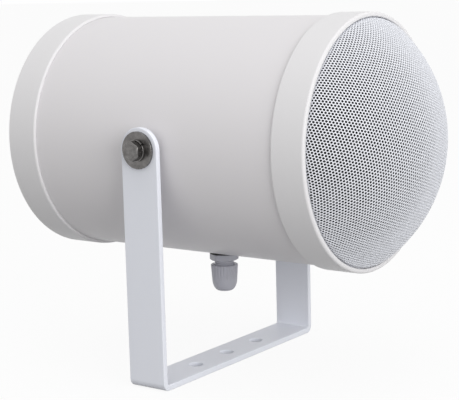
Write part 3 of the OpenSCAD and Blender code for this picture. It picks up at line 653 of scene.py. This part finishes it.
def weave_group():
    """A plain weave: threads over and under each other in two directions."""
    group, inputs, end = shader_group(
        "weave", {"Place": Vector(), "Colour": (0.02, 0.02, 0.02, 1.0), "Shade": (0.01, 0.01, 0.01, 1.0),
                  "Threads": 1500.0, "Rough From": 0.85, "Rough To": 0.95},
        {"Colour": tuple, "Roughness": float, "Height": float})
    part = node(group, "ShaderNodeSeparateXYZ", {0: inputs["Place"]}).outputs
    do = sums(group)
    warp = do("SINE", do("MULTIPLY", part["X"], do("MULTIPLY", inputs["Threads"], math.pi)))
    weft = do("SINE", do("MULTIPLY", part["Y"], do("MULTIPLY", inputs["Threads"], math.pi)))
    over = do("ADD", do("MULTIPLY", do("MULTIPLY", warp, weft), 0.5), 0.5)
    fuzz = node(group, "ShaderNodeTexNoise", {"Vector": inputs["Place"], "Scale": 900.0}).outputs["Fac"]
    height = do("ADD", over, do("MULTIPLY", fuzz, 0.3))
    rough = node(group, "ShaderNodeMapRange", {"Value": fuzz, "To Min": inputs["Rough From"],
                                               "To Max": inputs["Rough To"]})
    group.links.new(tint_between(group, inputs["Shade"], inputs["Colour"], over), end.inputs["Colour"])
    group.links.new(rough.outputs[0], end.inputs["Roughness"])
    group.links.new(height, end.inputs["Height"])
    return group


def dome_point(run, depth):
    """Radius and distance of a point on the pressed sheet, by its arc from the middle and its depth."""
    tilt = min(run, DOME_ARC) / DOME_R
    past = max(run - DOME_ARC, 0)
    bend = min(past / DOME_BEND, DOME_BEND_TURN)
    drop = past - bend * DOME_BEND
    big = DOME_R - DOME_BEND
    small = DOME_BEND - depth
    return (big * math.sin(tilt) + small * math.sin(tilt + bend),
            DOME_X + big * math.cos(tilt) + small * math.cos(tilt + bend) - drop)


def stretched_cloth(arc_end):
    """The cloth as one closed sheet, with its flat cut kept as the UV map."""
    steps = 40
    outer_face = GRILLE_T + cloth_gap
    runs = [arc_end * k / steps for k in range(steps + 1)]
    outline = [dome_point(run, outer_face) for run in runs]
    outline += [dome_point(run, outer_face + cloth_t) for run in reversed(runs)]
    cloth = turned("grille_cloth_black", outline, 96)
    layer = cloth.data.uv_layers.new(name="flat")
    for loop in cloth.data.loops:
        x, y, z = cloth.data.vertices[loop.vertex_index].co
        across = y / MM
        up = z / MM - PIVOT_H
        away = math.hypot(across, up)
        run = math.atan2(away, x / MM - DOME_X) * DOME_R
        stretch = run / away if away > 1e-6 else 1.0
        layer.data[loop.index].uv = (across * stretch * MM, up * stretch * MM)
    return cloth


cloth_arc = DOME_ARC + DOME_BEND * DOME_BEND_TURN + cloth_skirt
cloth = stretched_cloth(cloth_arc)
smooth(cloth)
weave = weave_group()
black_cloth = material("black_cloth", weave, {}, 0.12, Sheen_Weight=0.1)
cloth_tree = black_cloth.node_tree
flat_cut = node(cloth_tree, "ShaderNodeUVMap", uv_map="flat")
cloth_look = next(n for n in cloth_tree.nodes if n.type == "GROUP")
cloth_tree.links.new(flat_cut.outputs[0], cloth_look.inputs["Place"])
place_piece(cloth, black_cloth, "housing", "black_cloth", "grille_cloth")


# Pivot hardware, the same on both sides. A stainless hexagon bolt, a split spring washer and a
# wide flat washer clamp the arm against a rubber spacer; inside the tube a plate takes the thread.
SHANK_R = 3.0
BOLT_LEN = 20
BOLT_PITCH = 1.0
THREAD_LEN = 15
HEAD_AF = 10
HEAD_H = 4
WASHER_R = 10
WASHER_T = 1.6
WASHER_Y = 74.05
SPRING_R = 5.9
HEAD_Y = WASHER_Y + 2 * WASHER_T
TIP_Y = HEAD_Y - BOLT_LEN
SPACER_R = 8.0
WASHER_BORE = SHANK_R + 0.1
ARM_IN = ARM_OUT - STRAP_T
CHAMFER_SLOPE = math.tan(math.radians(30))
TUBE_FIT = 0.1
TUBE_FIT_STEPS = 360
ROW_POINTS = 96


def limited(do, value):
    """Keeps a value of a tree between 0 and 1."""
    return do("MINIMUM", do("MAXIMUM", value, 0.0), 1.0)


def both_sides_tree():
    """Sets a piece modelled on the Z axis at both pivots, pointing outwards."""
    tree, inputs = geometry_group("both_sides", {"Height": "Float", "Finish": "Material"})
    height = node(tree, "ShaderNodeCombineXYZ", {"Z": inputs["Height"]}).outputs[0]
    pair = node(tree, "GeometryNodeJoinGeometry")
    for angle in (-90, 90):
        side = node(tree, "GeometryNodeTransform", {
            "Geometry": inputs["Geometry"], "Translation": height, "Rotation": (math.radians(angle), 0, 0)})
        tree.links.new(side.outputs[0], pair.inputs[0])
    close_tree(tree, pair.outputs[0], inputs["Finish"])
    return tree


def turned_inwards(tree, do, at, away, amount):
    """Moves a mesh's points towards the Z axis by an amount, in a tree."""
    scale = do("SUBTRACT", 0.0, do("DIVIDE", amount, away))
    return node(tree, "ShaderNodeCombineXYZ", {"X": do("MULTIPLY", at["X"], scale),
                                               "Y": do("MULTIPLY", at["Y"], scale)}).outputs[0]


def thread_tree():
    """Cuts a helical thread into a shaft on the Z axis, between two heights."""
    tree, inputs = geometry_group("thread", {
        "Pitch": "Float", "Depth": "Float", "Core": "Float", "Shaft": "Float", "From": "Float",
        "To": "Float", "Finish": "Material"})
    do = sums(tree)
    at = point_parts(tree)
    away = from_axis(do, at)
    turn = do("DIVIDE", do("ARCTAN2", at["Y"], at["X"]), 2 * math.pi)
    groove = do("PINGPONG", do("ADD", do("DIVIDE", at["Z"], inputs["Pitch"]), turn), 0.5)
    cut = do("MULTIPLY", groove, do("MULTIPLY", inputs["Depth"], 2.0))
    run_in = limited(do, do("DIVIDE", do("SUBTRACT", at["Z"], inputs["From"]), inputs["Pitch"]))
    run_out = limited(do, do("DIVIDE", do("SUBTRACT", inputs["To"], at["Z"]), inputs["Pitch"]))
    outside = do("GREATER_THAN", away, inputs["Core"])
    on_shaft = do("MULTIPLY", outside, do("LESS_THAN", away, inputs["Shaft"]))
    amount = do("MULTIPLY", do("MULTIPLY", cut, on_shaft), do("MULTIPLY", run_in, run_out))
    threaded = node(tree, "GeometryNodeSetPosition", {
        "Geometry": inputs["Geometry"], "Offset": turned_inwards(tree, do, at, away, amount)})
    close_tree(tree, threaded.outputs[0], inputs["Finish"])
    return tree


def brushed_group():
    """Drawn or turned metal: fine lines round an axis and a few darker patches; where the patches are strong
    and dark, they are painted reflection.
    """
    group, inputs, end = shader_group(
        "brushed", {"Place": Vector(), "Colour": (0.5, 0.5, 0.48, 1.0), "Shade": (0.3, 0.3, 0.29, 1.0),
                    "Lines": 4000.0, "Patches": 120.0, "Rough From": 0.2, "Rough To": 0.4},
        {"Colour": tuple, "Roughness": float, "Height": float})
    do = sums(group)
    part = node(group, "ShaderNodeSeparateXYZ", {0: inputs["Place"]}).outputs
    across = do("MULTIPLY", from_axis(do, part), inputs["Lines"])
    rings = node(group, "ShaderNodeCombineXYZ", {"X": across, "Y": part["Z"]})
    lines = node(group, "ShaderNodeTexNoise", {"Vector": rings.outputs[0], "Scale": 1.0, "Detail": 3.0})
    patches = node(group, "ShaderNodeTexNoise", {"Vector": inputs["Place"], "Scale": inputs["Patches"],
                                                 "Detail": 4.0}).outputs["Fac"]
    both = do("MULTIPLY", do("ADD", lines.outputs["Fac"], patches), 0.5)
    rough = node(group, "ShaderNodeMapRange", {"Value": both, "From Min": 0.3, "From Max": 0.7,
                                               "To Min": inputs["Rough From"], "To Max": inputs["Rough To"]})
    group.links.new(tint_between(group, inputs["Shade"], inputs["Colour"], patches), end.inputs["Colour"])
    group.links.new(rough.outputs[0], end.inputs["Roughness"])
    group.links.new(lines.outputs["Fac"], end.inputs["Height"])
    return group


def aim(finish, degrees, centre):
    """Turns a material's pattern: its Z axis points another way, through a centre in millimetres."""
    tree = finish.node_tree
    place = next(n for n in tree.nodes if n.type == "TEX_COORD").outputs["Object"]
    look = next(n for n in tree.nodes if n.type == "GROUP")
    moved = node(tree, "ShaderNodeVectorMath", {0: place, 1: [c * MM for c in centre]},
                 operation="SUBTRACT")
    turned_place = node(tree, "ShaderNodeMapping", {
        "Vector": moved.outputs[0], "Rotation": [math.radians(angle) for angle in degrees]})
    tree.links.new(turned_place.outputs[0], look.inputs["Place"])


def loft(name, rows, hollow=False):
    """A shell through rows of points, bottom row first, closed by two faces or back to its first row."""
    count = len(rows[0])
    verts = [point for row in rows for point in row]
    faces = []
    if not hollow:
        faces += [tuple(range(count - 1, -1, -1)), tuple(range(len(verts) - count, len(verts)))]
    for i in range(len(rows) if hollow else len(rows) - 1):
        start = i * count
        above = (i + 1) % len(rows) * count
        for k in range(count):
            n = (k + 1) % count
            faces.append((start + k, start + n, above + n, above + k))
    return new_object(name, mesh_from_mm(name, verts, faces))


def hexagon_row(width, height, slope=0.0):
    """A hexagon's outline with eased corners; a slope lowers or lifts what a chamfer takes off."""
    ease = 0.3
    chamfer_from = 0.98 * width / 2
    row = []
    for k in range(ROW_POINTS):
        angle = 2 * math.pi * k / ROW_POINTS
        off_flat = (angle + math.pi / 6) % (math.pi / 3) - math.pi / 6
        radius = min(width / 2 / math.cos(off_flat), width / 2 / math.cos(math.pi / 6) - ease)
        beyond = max(0.0, radius - chamfer_from)
        row.append((radius * math.cos(angle), radius * math.sin(angle), height - slope * beyond))
    return row


def circle_row(radius, height):
    """A circle's outline at a height."""
    return [(x, y, height) for x, y in on_circle(radius, ROW_POINTS)]


def spaced(start, end, steps):
    """Evenly spaced values after the start, up to the end."""
    return [start + (end - start) * (k + 1) / steps for k in range(steps)]


def hexagon_bolt():
    """The bolt on the Z axis: threaded shank, washer face and a chamfered head with a dished top."""
    half = HEAD_AF / 2
    top = HEAD_Y + HEAD_H
    tip_chamfer = 0.6
    washer_face = 0.25
    thread_steps = 120
    edge = 0.5
    edge_steps = 6
    dish = 0.3
    rows = [circle_row(SHANK_R - tip_chamfer, TIP_Y), circle_row(SHANK_R, TIP_Y + tip_chamfer)]
    rows += [circle_row(SHANK_R, z) for z in spaced(TIP_Y + tip_chamfer, TIP_Y + THREAD_LEN, thread_steps)]
    rows += [circle_row(SHANK_R, HEAD_Y - 0.02), circle_row(half - 0.3, HEAD_Y),
             circle_row(half - 0.2, HEAD_Y + washer_face), hexagon_row(HEAD_AF, HEAD_Y + washer_face + 0.1)]
    for k in range(edge_steps + 1):
        turn = math.pi / 2 * k / edge_steps
        width = HEAD_AF - 2 * edge * (1 - math.cos(turn))
        rows.append(hexagon_row(width, top - edge * (1 - math.sin(turn)), CHAMFER_SLOPE))
    rows += [circle_row(0.76 * half, top), circle_row(0.68 * half, top - dish),
             circle_row(0.2, top - dish - 0.05)]
    bolt = loft("pivot_bolts", rows)
    smooth(bolt, 22)
    return bolt


def flat_ring(name, inner, outer, low, high, ease):
    """A washer on the Z axis with eased edges."""
    return turned(name, [(inner, low), (outer - ease, low), (outer, low + ease), (outer, high - ease),
                         (outer - ease, high), (inner, high)], 128, upright=True)


def split_washer():
    """A turn of square wire, cut through at one place, between the flat washer and the head."""
    steps = 90
    ease = 0.2
    split_at = math.radians(35)
    gap = 0.8 / SPRING_R
    low = WASHER_Y + WASHER_T
    section = [(WASHER_BORE, low), (SPRING_R - ease, low), (SPRING_R, low + ease),
               (SPRING_R, HEAD_Y - ease), (SPRING_R - ease, HEAD_Y), (WASHER_BORE, HEAD_Y)]
    rows = []
    for k in range(steps + 1):
        angle = split_at + gap / 2 + (2 * math.pi - gap) * k / steps
        rows.append([(r * math.cos(angle), r * math.sin(angle), z) for r, z in section])
    return loft("spring_washers", rows)


both_sides = both_sides_tree()
thread = thread_tree()
brushed = brushed_group()
# The stainless is painted far darker than bare stainless, with strong dark patches: painted reflection of
# dark surroundings, not the metal's own colour.
stainless = material(
    "stainless", brushed, {"Colour": (0.27, 0.26, 0.255, 1), "Shade": (0.07, 0.067, 0.066, 1),
                           "Lines": 5000.0, "Patches": 300.0, "Rough From": 0.16, "Rough To": 0.40}, 0.02,
    Metallic=1.0)
aim(stainless, (90, 0, 0), (0, 0, PIVOT_H))
# The bolt steel is painted dark in the same way, and its dark patches are painted reflection too.
bolt_steel = material(
    "bolt_steel", brushed, {"Colour": (0.28, 0.27, 0.265, 1), "Shade": (0.07, 0.067, 0.066, 1),
                            "Lines": 3000.0, "Patches": 420.0, "Rough From": 0.14, "Rough To": 0.36}, 0.02,
    Metallic=1.0)
aim(bolt_steel, (90, 0, 0), (0, 0, PIVOT_H))
at_pivots = {"Height": PIVOT_H * MM, "Finish": stainless}
bolts_at_pivots = {"Height": PIVOT_H * MM, "Finish": bolt_steel}

bolts = hexagon_bolt()
grow(bolts, thread, {
    "Pitch": BOLT_PITCH * MM, "Depth": 0.55 * MM, "Core": (SHANK_R - 0.5) * MM,
    "Shaft": (SHANK_R + 0.2) * MM, "From": TIP_Y * MM, "To": (TIP_Y + THREAD_LEN) * MM,
    "Finish": bolt_steel})
grow(bolts, both_sides, bolts_at_pivots)
place_piece(bolts, bolt_steel, "housing", "stainless", "pivot_bolt_left", "pivot_bolt_right")

springs = split_washer()
smooth(springs)
grow(springs, both_sides, bolts_at_pivots)
place_piece(springs, bolt_steel, "housing", "stainless", "spring_washer_left", "spring_washer_right")

washers = flat_ring("flat_washers", WASHER_BORE, WASHER_R, WASHER_Y, WASHER_Y + WASHER_T, 0.2)
smooth(washers)
grow(washers, both_sides, at_pivots)
place_piece(washers, stainless, "housing", "stainless", "flat_washer_left", "flat_washer_right")

black_rubber = material(
    "black_rubber", skin, {"Colour": (0.016, 0.016, 0.017, 1), "Shade": (0.009, 0.009, 0.010, 1),
                           "Clouds": 90.0, "Grain": 2500.0, "Rough From": 0.55, "Rough To": 0.75}, 0.02)
spacers = flat_ring("pivot_spacers", WASHER_BORE, SPACER_R, TUBE_IN, ARM_IN - 0.05, 0.3)
grow(spacers, both_sides, {"Height": PIVOT_H * MM, "Finish": black_rubber})
drill(spacers, TUBE_R + TUBE_FIT, (-2 * SPACER_R, 0, PIVOT_H), (2 * SPACER_R, 0, PIVOT_H), TUBE_FIT_STEPS)
smooth(spacers)
place_piece(spacers, black_rubber, "housing", "black_rubber", "pivot_spacer_left", "pivot_spacer_right")


# Cable gland. A moulded polyamide body with a hexagon screws into the tube against a rubber
# washer; its ribbed dome nut squeezes slotted fingers and a rubber seal onto the cable.
TUBE_LOW = PIVOT_H - TUBE_R
SEAT_Z = TUBE_LOW - 1.2
HEX_LOW = SEAT_Z - 3.9
GLAND_AF = 15
GLAND_PITCH = 1.5
NECK_R = 5.7
NECK_LOW = HEX_LOW - 9
NUT_TOP = HEX_LOW - 2.5
NUT_H = 15.4
NUT_LOW = NUT_TOP - NUT_H
NUT_R = 7.85
NUT_FOOT_R = NUT_R - 0.55
NUT_DOME = 7
MOUTH_R = 3.5
GLAND_BORE = 4.2
SEAL_R = 4.7
SEAL_BORE = 3.25
SEAL_TOP = NECK_LOW + 8
THREAD_R = 6.0
THREAD_DEPTH = 0.5
GASKET_R = 8.2
STUB_TOP = SEAT_Z + 12
LOCKNUT_Z = 67.13
LOCKNUT_H = 5


def grips_tree():
    """Presses grip grooves into the outside of a nut on the Z axis, fading out at their lower end."""
    tree, inputs = geometry_group("grips", {
        "Count": "Float", "Depth": "Float", "Core": "Float", "From": "Float", "Fade": "Float",
        "Finish": "Material"})
    do = sums(tree)
    at = point_parts(tree)
    away = from_axis(do, at)
    wave = do("COSINE", do("MULTIPLY", do("ARCTAN2", at["Y"], at["X"]), inputs["Count"]))
    groove = do("POWER", do("ADD", do("MULTIPLY", wave, 0.5), 0.5), 4.0)
    run_in = limited(do, do("DIVIDE", do("SUBTRACT", at["Z"], inputs["From"]), inputs["Fade"]))
    outside = do("MULTIPLY", run_in, do("GREATER_THAN", away, inputs["Core"]))
    amount = do("MULTIPLY", do("MULTIPLY", groove, inputs["Depth"]), outside)
    ribbed = node(tree, "GeometryNodeSetPosition", {
        "Geometry": inputs["Geometry"], "Offset": turned_inwards(tree, do, at, away, amount)})
    close_tree(tree, ribbed.outputs[0], inputs["Finish"])
    return tree


def hexagon_ring(name, bore, low, high, chamfers):
    """A hexagon with a hole, chamfered at its lower and upper corners where the slopes aren't 0."""
    lower, upper = chamfers
    face_r = 0.46 * GLAND_AF
    edge = 0.1
    rows = [circle_row(bore, low), circle_row(face_r, low), hexagon_row(GLAND_AF, low + edge, -lower),
            hexagon_row(GLAND_AF, high - edge, upper), circle_row(face_r, high), circle_row(bore, high)]
    return loft(name, rows, hollow=True)


def slit(obj, degrees, width, length):
    """Saws a slit across the lower end of a piece on the Z axis."""
    shell = bmesh.new()
    bmesh.ops.create_cube(shell, size=1)
    box = Matrix.Diagonal((4 * NECK_R * MM, width * MM, 2 * length * MM, 1))
    place = Matrix.Translation((0, 0, NECK_LOW * MM)) @ Matrix.Rotation(math.radians(degrees), 4, "Z")
    bmesh.ops.transform(shell, matrix=place @ box, verts=shell.verts)
    cut_away(obj, shell)


gland_grey = material(
    "gland_grey", skin, {"Colour": (0.50, 0.50, 0.555, 1), "Shade": (0.47, 0.47, 0.525, 1),
                         "Clouds": 120.0, "Grain": 2500.0, "Rough From": 0.30, "Rough To": 0.42}, 0.012,
    Specular_IOR_Level=0.6)

gasket_ring = flat_ring("gland_washer_rubber", THREAD_R + 0.1, GASKET_R, SEAT_Z, TUBE_LOW + 3, 0.2)
gasket_reach = 20
drill(gasket_ring, TUBE_R + TUBE_FIT, (-gasket_reach, 0, PIVOT_H), (gasket_reach, 0, PIVOT_H),
      2 * TUBE_FIT_STEPS)
smooth(gasket_ring)
place_piece(gasket_ring, black_rubber, "housing", "black_rubber", "gland_washer")

seal_pocket = SEAL_R + 0.1
neck_end = HEX_LOW + 0.2
stub_chamfer = 0.3
neck_steps = 48
stub_steps = 84
body_outline = [(GLAND_BORE, SEAL_TOP), (seal_pocket, SEAL_TOP), (seal_pocket, NECK_LOW),
                (NECK_R - 0.2, NECK_LOW)]
body_outline += [(NECK_R, z) for z in spaced(NECK_LOW, neck_end, neck_steps)]
body_outline += [(THREAD_R, z) for z in spaced(neck_end, STUB_TOP - stub_chamfer, stub_steps)]
body_outline += [(THREAD_R - stub_chamfer, STUB_TOP), (GLAND_BORE, STUB_TOP)]
shaft = turned("gland_body_threaded", body_outline, 96, upright=True)
slit_width = 0.8
slit_len = 4
for degrees in (0, 45, 90, 135):
    slit(shaft, degrees, slit_width, slit_len)
smooth(shaft)
for low, high, core in ((NECK_LOW + 1, neck_end, NECK_R - 0.1), (SEAT_Z + 0.5, STUB_TOP, THREAD_R - 0.1)):
    grow(shaft, thread, {
        "Pitch": GLAND_PITCH * MM, "Depth": THREAD_DEPTH * MM, "Core": core * MM,
        "Shaft": (THREAD_R + 0.1) * MM, "From": low * MM, "To": high * MM, "Finish": gland_grey})
smooth(shaft)
collar = hexagon_ring("gland_collar", NECK_R - 0.5, HEX_LOW, SEAT_Z, (CHAMFER_SLOPE, 0))
smooth(collar)
join(shaft, collar)
place_piece(shaft, gland_grey, "housing", "gland_grey", "gland_body")

seal = flat_ring("gland_seal_rubber", SEAL_BORE, SEAL_R, NECK_LOW, SEAL_TOP, 0.3)
smooth(seal)
place_piece(seal, black_rubber, "housing", "black_rubber", "gland_seal")

locknut = hexagon_ring("gland_locknut_moulded", THREAD_R + 0.05, LOCKNUT_Z, LOCKNUT_Z + LOCKNUT_H,
                       (CHAMFER_SLOPE, CHAMFER_SLOPE))
smooth(locknut)
place_piece(locknut, gland_grey, "housing", "gland_grey", "gland_locknut")

nut_edge = 0.4
nut_bore = NECK_R + 0.05
cup_low = NECK_LOW - 0.1
dome_out = NUT_FOOT_R - MOUTH_R
cone_out = NUT_R - NUT_FOOT_R
cone_low = NUT_LOW + NUT_DOME
cone_h = NUT_H - NUT_DOME - nut_edge
dome_steps = 12
cone_steps = 14
quarter = [math.pi / 2 * k / dome_steps for k in range(dome_steps + 1)]
nut_outline = [(MOUTH_R + dome_out * math.sin(a), NUT_LOW + NUT_DOME * (1 - math.cos(a))) for a in quarter]
nut_outline += [(NUT_FOOT_R + cone_out * share, cone_low + cone_h * share)
                for share in spaced(0, 1, cone_steps)]
nut_outline += [(NUT_R - nut_edge / 3, NUT_TOP - nut_edge / 3), (NUT_R - nut_edge, NUT_TOP)]
nut_outline += [(NECK_R + 0.3, NUT_TOP), (nut_bore, NUT_TOP - 0.25), (nut_bore, cup_low), (MOUTH_R, cup_low)]
nut = turned("gland_nut_ribbed", nut_outline, 288, upright=True)
grip_count = 24.0
grip_depth = 0.3
grips_low = NUT_LOW + 0.4 * NUT_H
grow(nut, grips_tree(), {"Count": grip_count, "Depth": grip_depth * MM, "Core": (NECK_R + 0.9) * MM,
                         "From": grips_low * MM, "Fade": 2.0 * MM, "Finish": gland_grey})
smooth(nut, 40)
place_piece(nut, gland_grey, "gland_nut", "gland_grey", "gland_nut")


# Loudspeaker driver, screwed to a round board. A steel basket carries the magnet and the plates;
# a paper cone hangs in a cloth surround and a pleated cloth spider, with its coil in the gap.
def dress(finish, *nodes):
    """Gives its finish to CAD nodes that stay as they are."""
    for name in nodes:
        for slot in bpy.data.objects[name].material_slots:
            slot.material = finish


def layers_group():
    """Thin layers on top of each other along Z, such as windings or stacked sheets."""
    group, inputs, end = shader_group(
        "layers", {"Place": Vector(), "Colour": (0.5, 0.5, 0.5, 1.0), "Shade": (0.3, 0.3, 0.3, 1.0),
                   "Layers": 2000.0, "Rough From": 0.3, "Rough To": 0.5},
        {"Colour": tuple, "Roughness": float, "Height": float})
    do = sums(group)
    part = node(group, "ShaderNodeSeparateXYZ", {0: inputs["Place"]}).outputs
    stack = do("MULTIPLY", part["Z"], inputs["Layers"])
    crown = do("SINE", do("MULTIPLY", do("FRACT", stack), math.pi))
    which = node(group, "ShaderNodeTexWhiteNoise", {"W": do("FLOOR", stack)}, noise_dimensions="1D")
    tone = do("MULTIPLY", do("ADD", crown, which.outputs["Value"]), 0.5)
    rough = node(group, "ShaderNodeMapRange", {"Value": tone, "To Min": inputs["Rough From"],
                                               "To Max": inputs["Rough To"]})
    group.links.new(tint_between(group, inputs["Shade"], inputs["Colour"], tone), end.inputs["Colour"])
    group.links.new(rough.outputs[0], end.inputs["Roughness"])
    group.links.new(crown, end.inputs["Height"])
    return group


layers = layers_group()
along_x = (0, -90, 0)
sound_axis = (0, 0, PIVOT_H)

baffle_board = material(
    "baffle_board", skin, {"Colour": (0.40, 0.28, 0.17, 1), "Shade": (0.27, 0.18, 0.10, 1),
                           "Clouds": 260.0, "Grain": 1200.0, "Rough From": 0.75, "Rough To": 0.90}, 0.08)
dress(baffle_board, "baffle")
gasket_foam = material(
    "gasket_foam", skin, {"Colour": (0.030, 0.030, 0.032, 1), "Shade": (0.015, 0.015, 0.016, 1),
                          "Clouds": 400.0, "Grain": 1600.0, "Rough From": 0.85, "Rough To": 0.98}, 0.25)
dress(gasket_foam, "driver_gasket")
basket_steel = material(
    "basket_steel", brushed, {"Colour": (0.52, 0.53, 0.52, 1), "Shade": (0.36, 0.36, 0.35, 1),
                              "Lines": 900.0, "Patches": 90.0, "Rough From": 0.30, "Rough To": 0.50}, 0.01,
    Metallic=1.0)
aim(basket_steel, along_x, sound_axis)
dress(basket_steel, "driver_basket")
surround_cloth = material(
    "surround_cloth", weave, {"Colour": (0.040, 0.038, 0.036, 1), "Shade": (0.018, 0.017, 0.016, 1),
                              "Threads": 1800.0, "Rough From": 0.6, "Rough To": 0.8}, 0.08)
aim(surround_cloth, along_x, sound_axis)
dress(surround_cloth, "surround")
spider_cloth = material(
    "spider_cloth", weave, {"Colour": (0.52, 0.33, 0.12, 1), "Shade": (0.30, 0.17, 0.05, 1),
                            "Threads": 1600.0, "Rough From": 0.55, "Rough To": 0.75}, 0.10)
aim(spider_cloth, along_x, sound_axis)
dress(spider_cloth, "spider")
cone_paper = material(
    "cone_paper", skin, {"Colour": (0.075, 0.072, 0.068, 1), "Shade": (0.040, 0.038, 0.036, 1),
                         "Clouds": 350.0, "Grain": 2200.0, "Rough From": 0.75, "Rough To": 0.92}, 0.06)
dress(cone_paper, "cone", "dust_cap")
coil_copper = material(
    "coil_copper", layers, {"Colour": (0.75, 0.32, 0.13, 1), "Shade": (0.34, 0.11, 0.04, 1),
                            "Layers": 4000.0, "Rough From": 0.22, "Rough To": 0.36}, 0.10,
    Metallic=1.0)
aim(coil_copper, along_x, sound_axis)
dress(coil_copper, "voice_coil")
plate_steel = material(
    "plate_steel", brushed, {"Colour": (0.60, 0.60, 0.58, 1), "Shade": (0.44, 0.44, 0.42, 1),
                             "Lines": 2500.0, "Patches": 160.0, "Rough From": 0.24, "Rough To": 0.44}, 0.01,
    Metallic=1.0)
aim(plate_steel, along_x, sound_axis)
dress(plate_steel, "top_plate", "yoke")
ferrite = material(
    "ferrite", skin, {"Colour": (0.060, 0.058, 0.060, 1), "Shade": (0.035, 0.034, 0.036, 1),
                      "Clouds": 500.0, "Grain": 3000.0, "Rough From": 0.55, "Rough To": 0.75}, 0.04)
dress(ferrite, "magnet")
phenolic = material(
    "phenolic", skin, {"Colour": (0.34, 0.17, 0.07, 1), "Shade": (0.24, 0.11, 0.04, 1),
                       "Clouds": 300.0, "Grain": 1400.0, "Rough From": 0.45, "Rough To": 0.60}, 0.03)
dress(phenolic, "terminal_strip")
tab_brass = material(
    "tab_brass", brushed, {"Colour": (0.80, 0.62, 0.30, 1), "Shade": (0.58, 0.42, 0.18, 1),
                           "Lines": 3000.0, "Patches": 700.0, "Rough From": 0.22, "Rough To": 0.40}, 0.01,
    Metallic=1.0)
dress(tab_brass, "terminal_tabs")
screw_steel = material(
    "screw_steel", brushed, {"Colour": (0.62, 0.61, 0.58, 1), "Shade": (0.40, 0.39, 0.37, 1),
                             "Lines": 3500.0, "Patches": 500.0, "Rough From": 0.25, "Rough To": 0.42}, 0.01,
    Metallic=1.0)
dress(screw_steel, "driver_screws")


# Nut plates inside the tube, one a side. A steel plate, rounded to the tube's wall, takes the
# thread of the pivot bolt.
dress(plate_steel, "nut_plate_left", "nut_plate_right")


# Line transformer, screwed to the cap's bosses. Iron sheets stacked in a bent steel clamp,
# with a copper coil round the middle leg. It matches the driver to a long line.
core_iron = material(
    "core_iron", layers, {"Colour": (0.30, 0.30, 0.32, 1), "Shade": (0.13, 0.13, 0.15, 1),
                          "Layers": 2000.0, "Rough From": 0.35, "Rough To": 0.55}, 0.08,
    Metallic=1.0)
dress(core_iron, "transformer_core")
dress(coil_copper, "transformer_coil")
dress(plate_steel, "transformer_clamp")
dress(screw_steel, "transformer_screws")


# Wiring. Red insulated leads run from the driver's tabs through moulded clips under the tube's
# top to the transformer, and short blue ones from there to a terminal block on the cap.
block_plastic = material(
    "block_plastic", skin, {"Colour": (0.72, 0.69, 0.58, 1), "Shade": (0.66, 0.63, 0.52, 1),
                            "Clouds": 160.0, "Grain": 1800.0, "Rough From": 0.35, "Rough To": 0.50}, 0.01)
dress(block_plastic, "terminal_block")
lead_red = material(
    "lead_red", skin, {"Colour": (0.52, 0.030, 0.022, 1), "Shade": (0.42, 0.022, 0.016, 1),
                       "Clouds": 200.0, "Grain": 2400.0, "Rough From": 0.35, "Rough To": 0.50}, 0.01)
dress(lead_red, "speaker_leads")
lead_blue = material(
    "lead_blue", skin, {"Colour": (0.030, 0.10, 0.42, 1), "Shade": (0.022, 0.075, 0.33, 1),
                        "Clouds": 200.0, "Grain": 2400.0, "Rough From": 0.35, "Rough To": 0.50}, 0.01)
dress(lead_blue, "line_leads")
clip_plastic = material(
    "clip_plastic", skin, {"Colour": (0.70, 0.69, 0.64, 1), "Shade": (0.64, 0.63, 0.58, 1),
                           "Clouds": 140.0, "Grain": 1800.0, "Rough From": 0.40, "Rough To": 0.55}, 0.01)
dress(clip_plastic, "lead_clips")
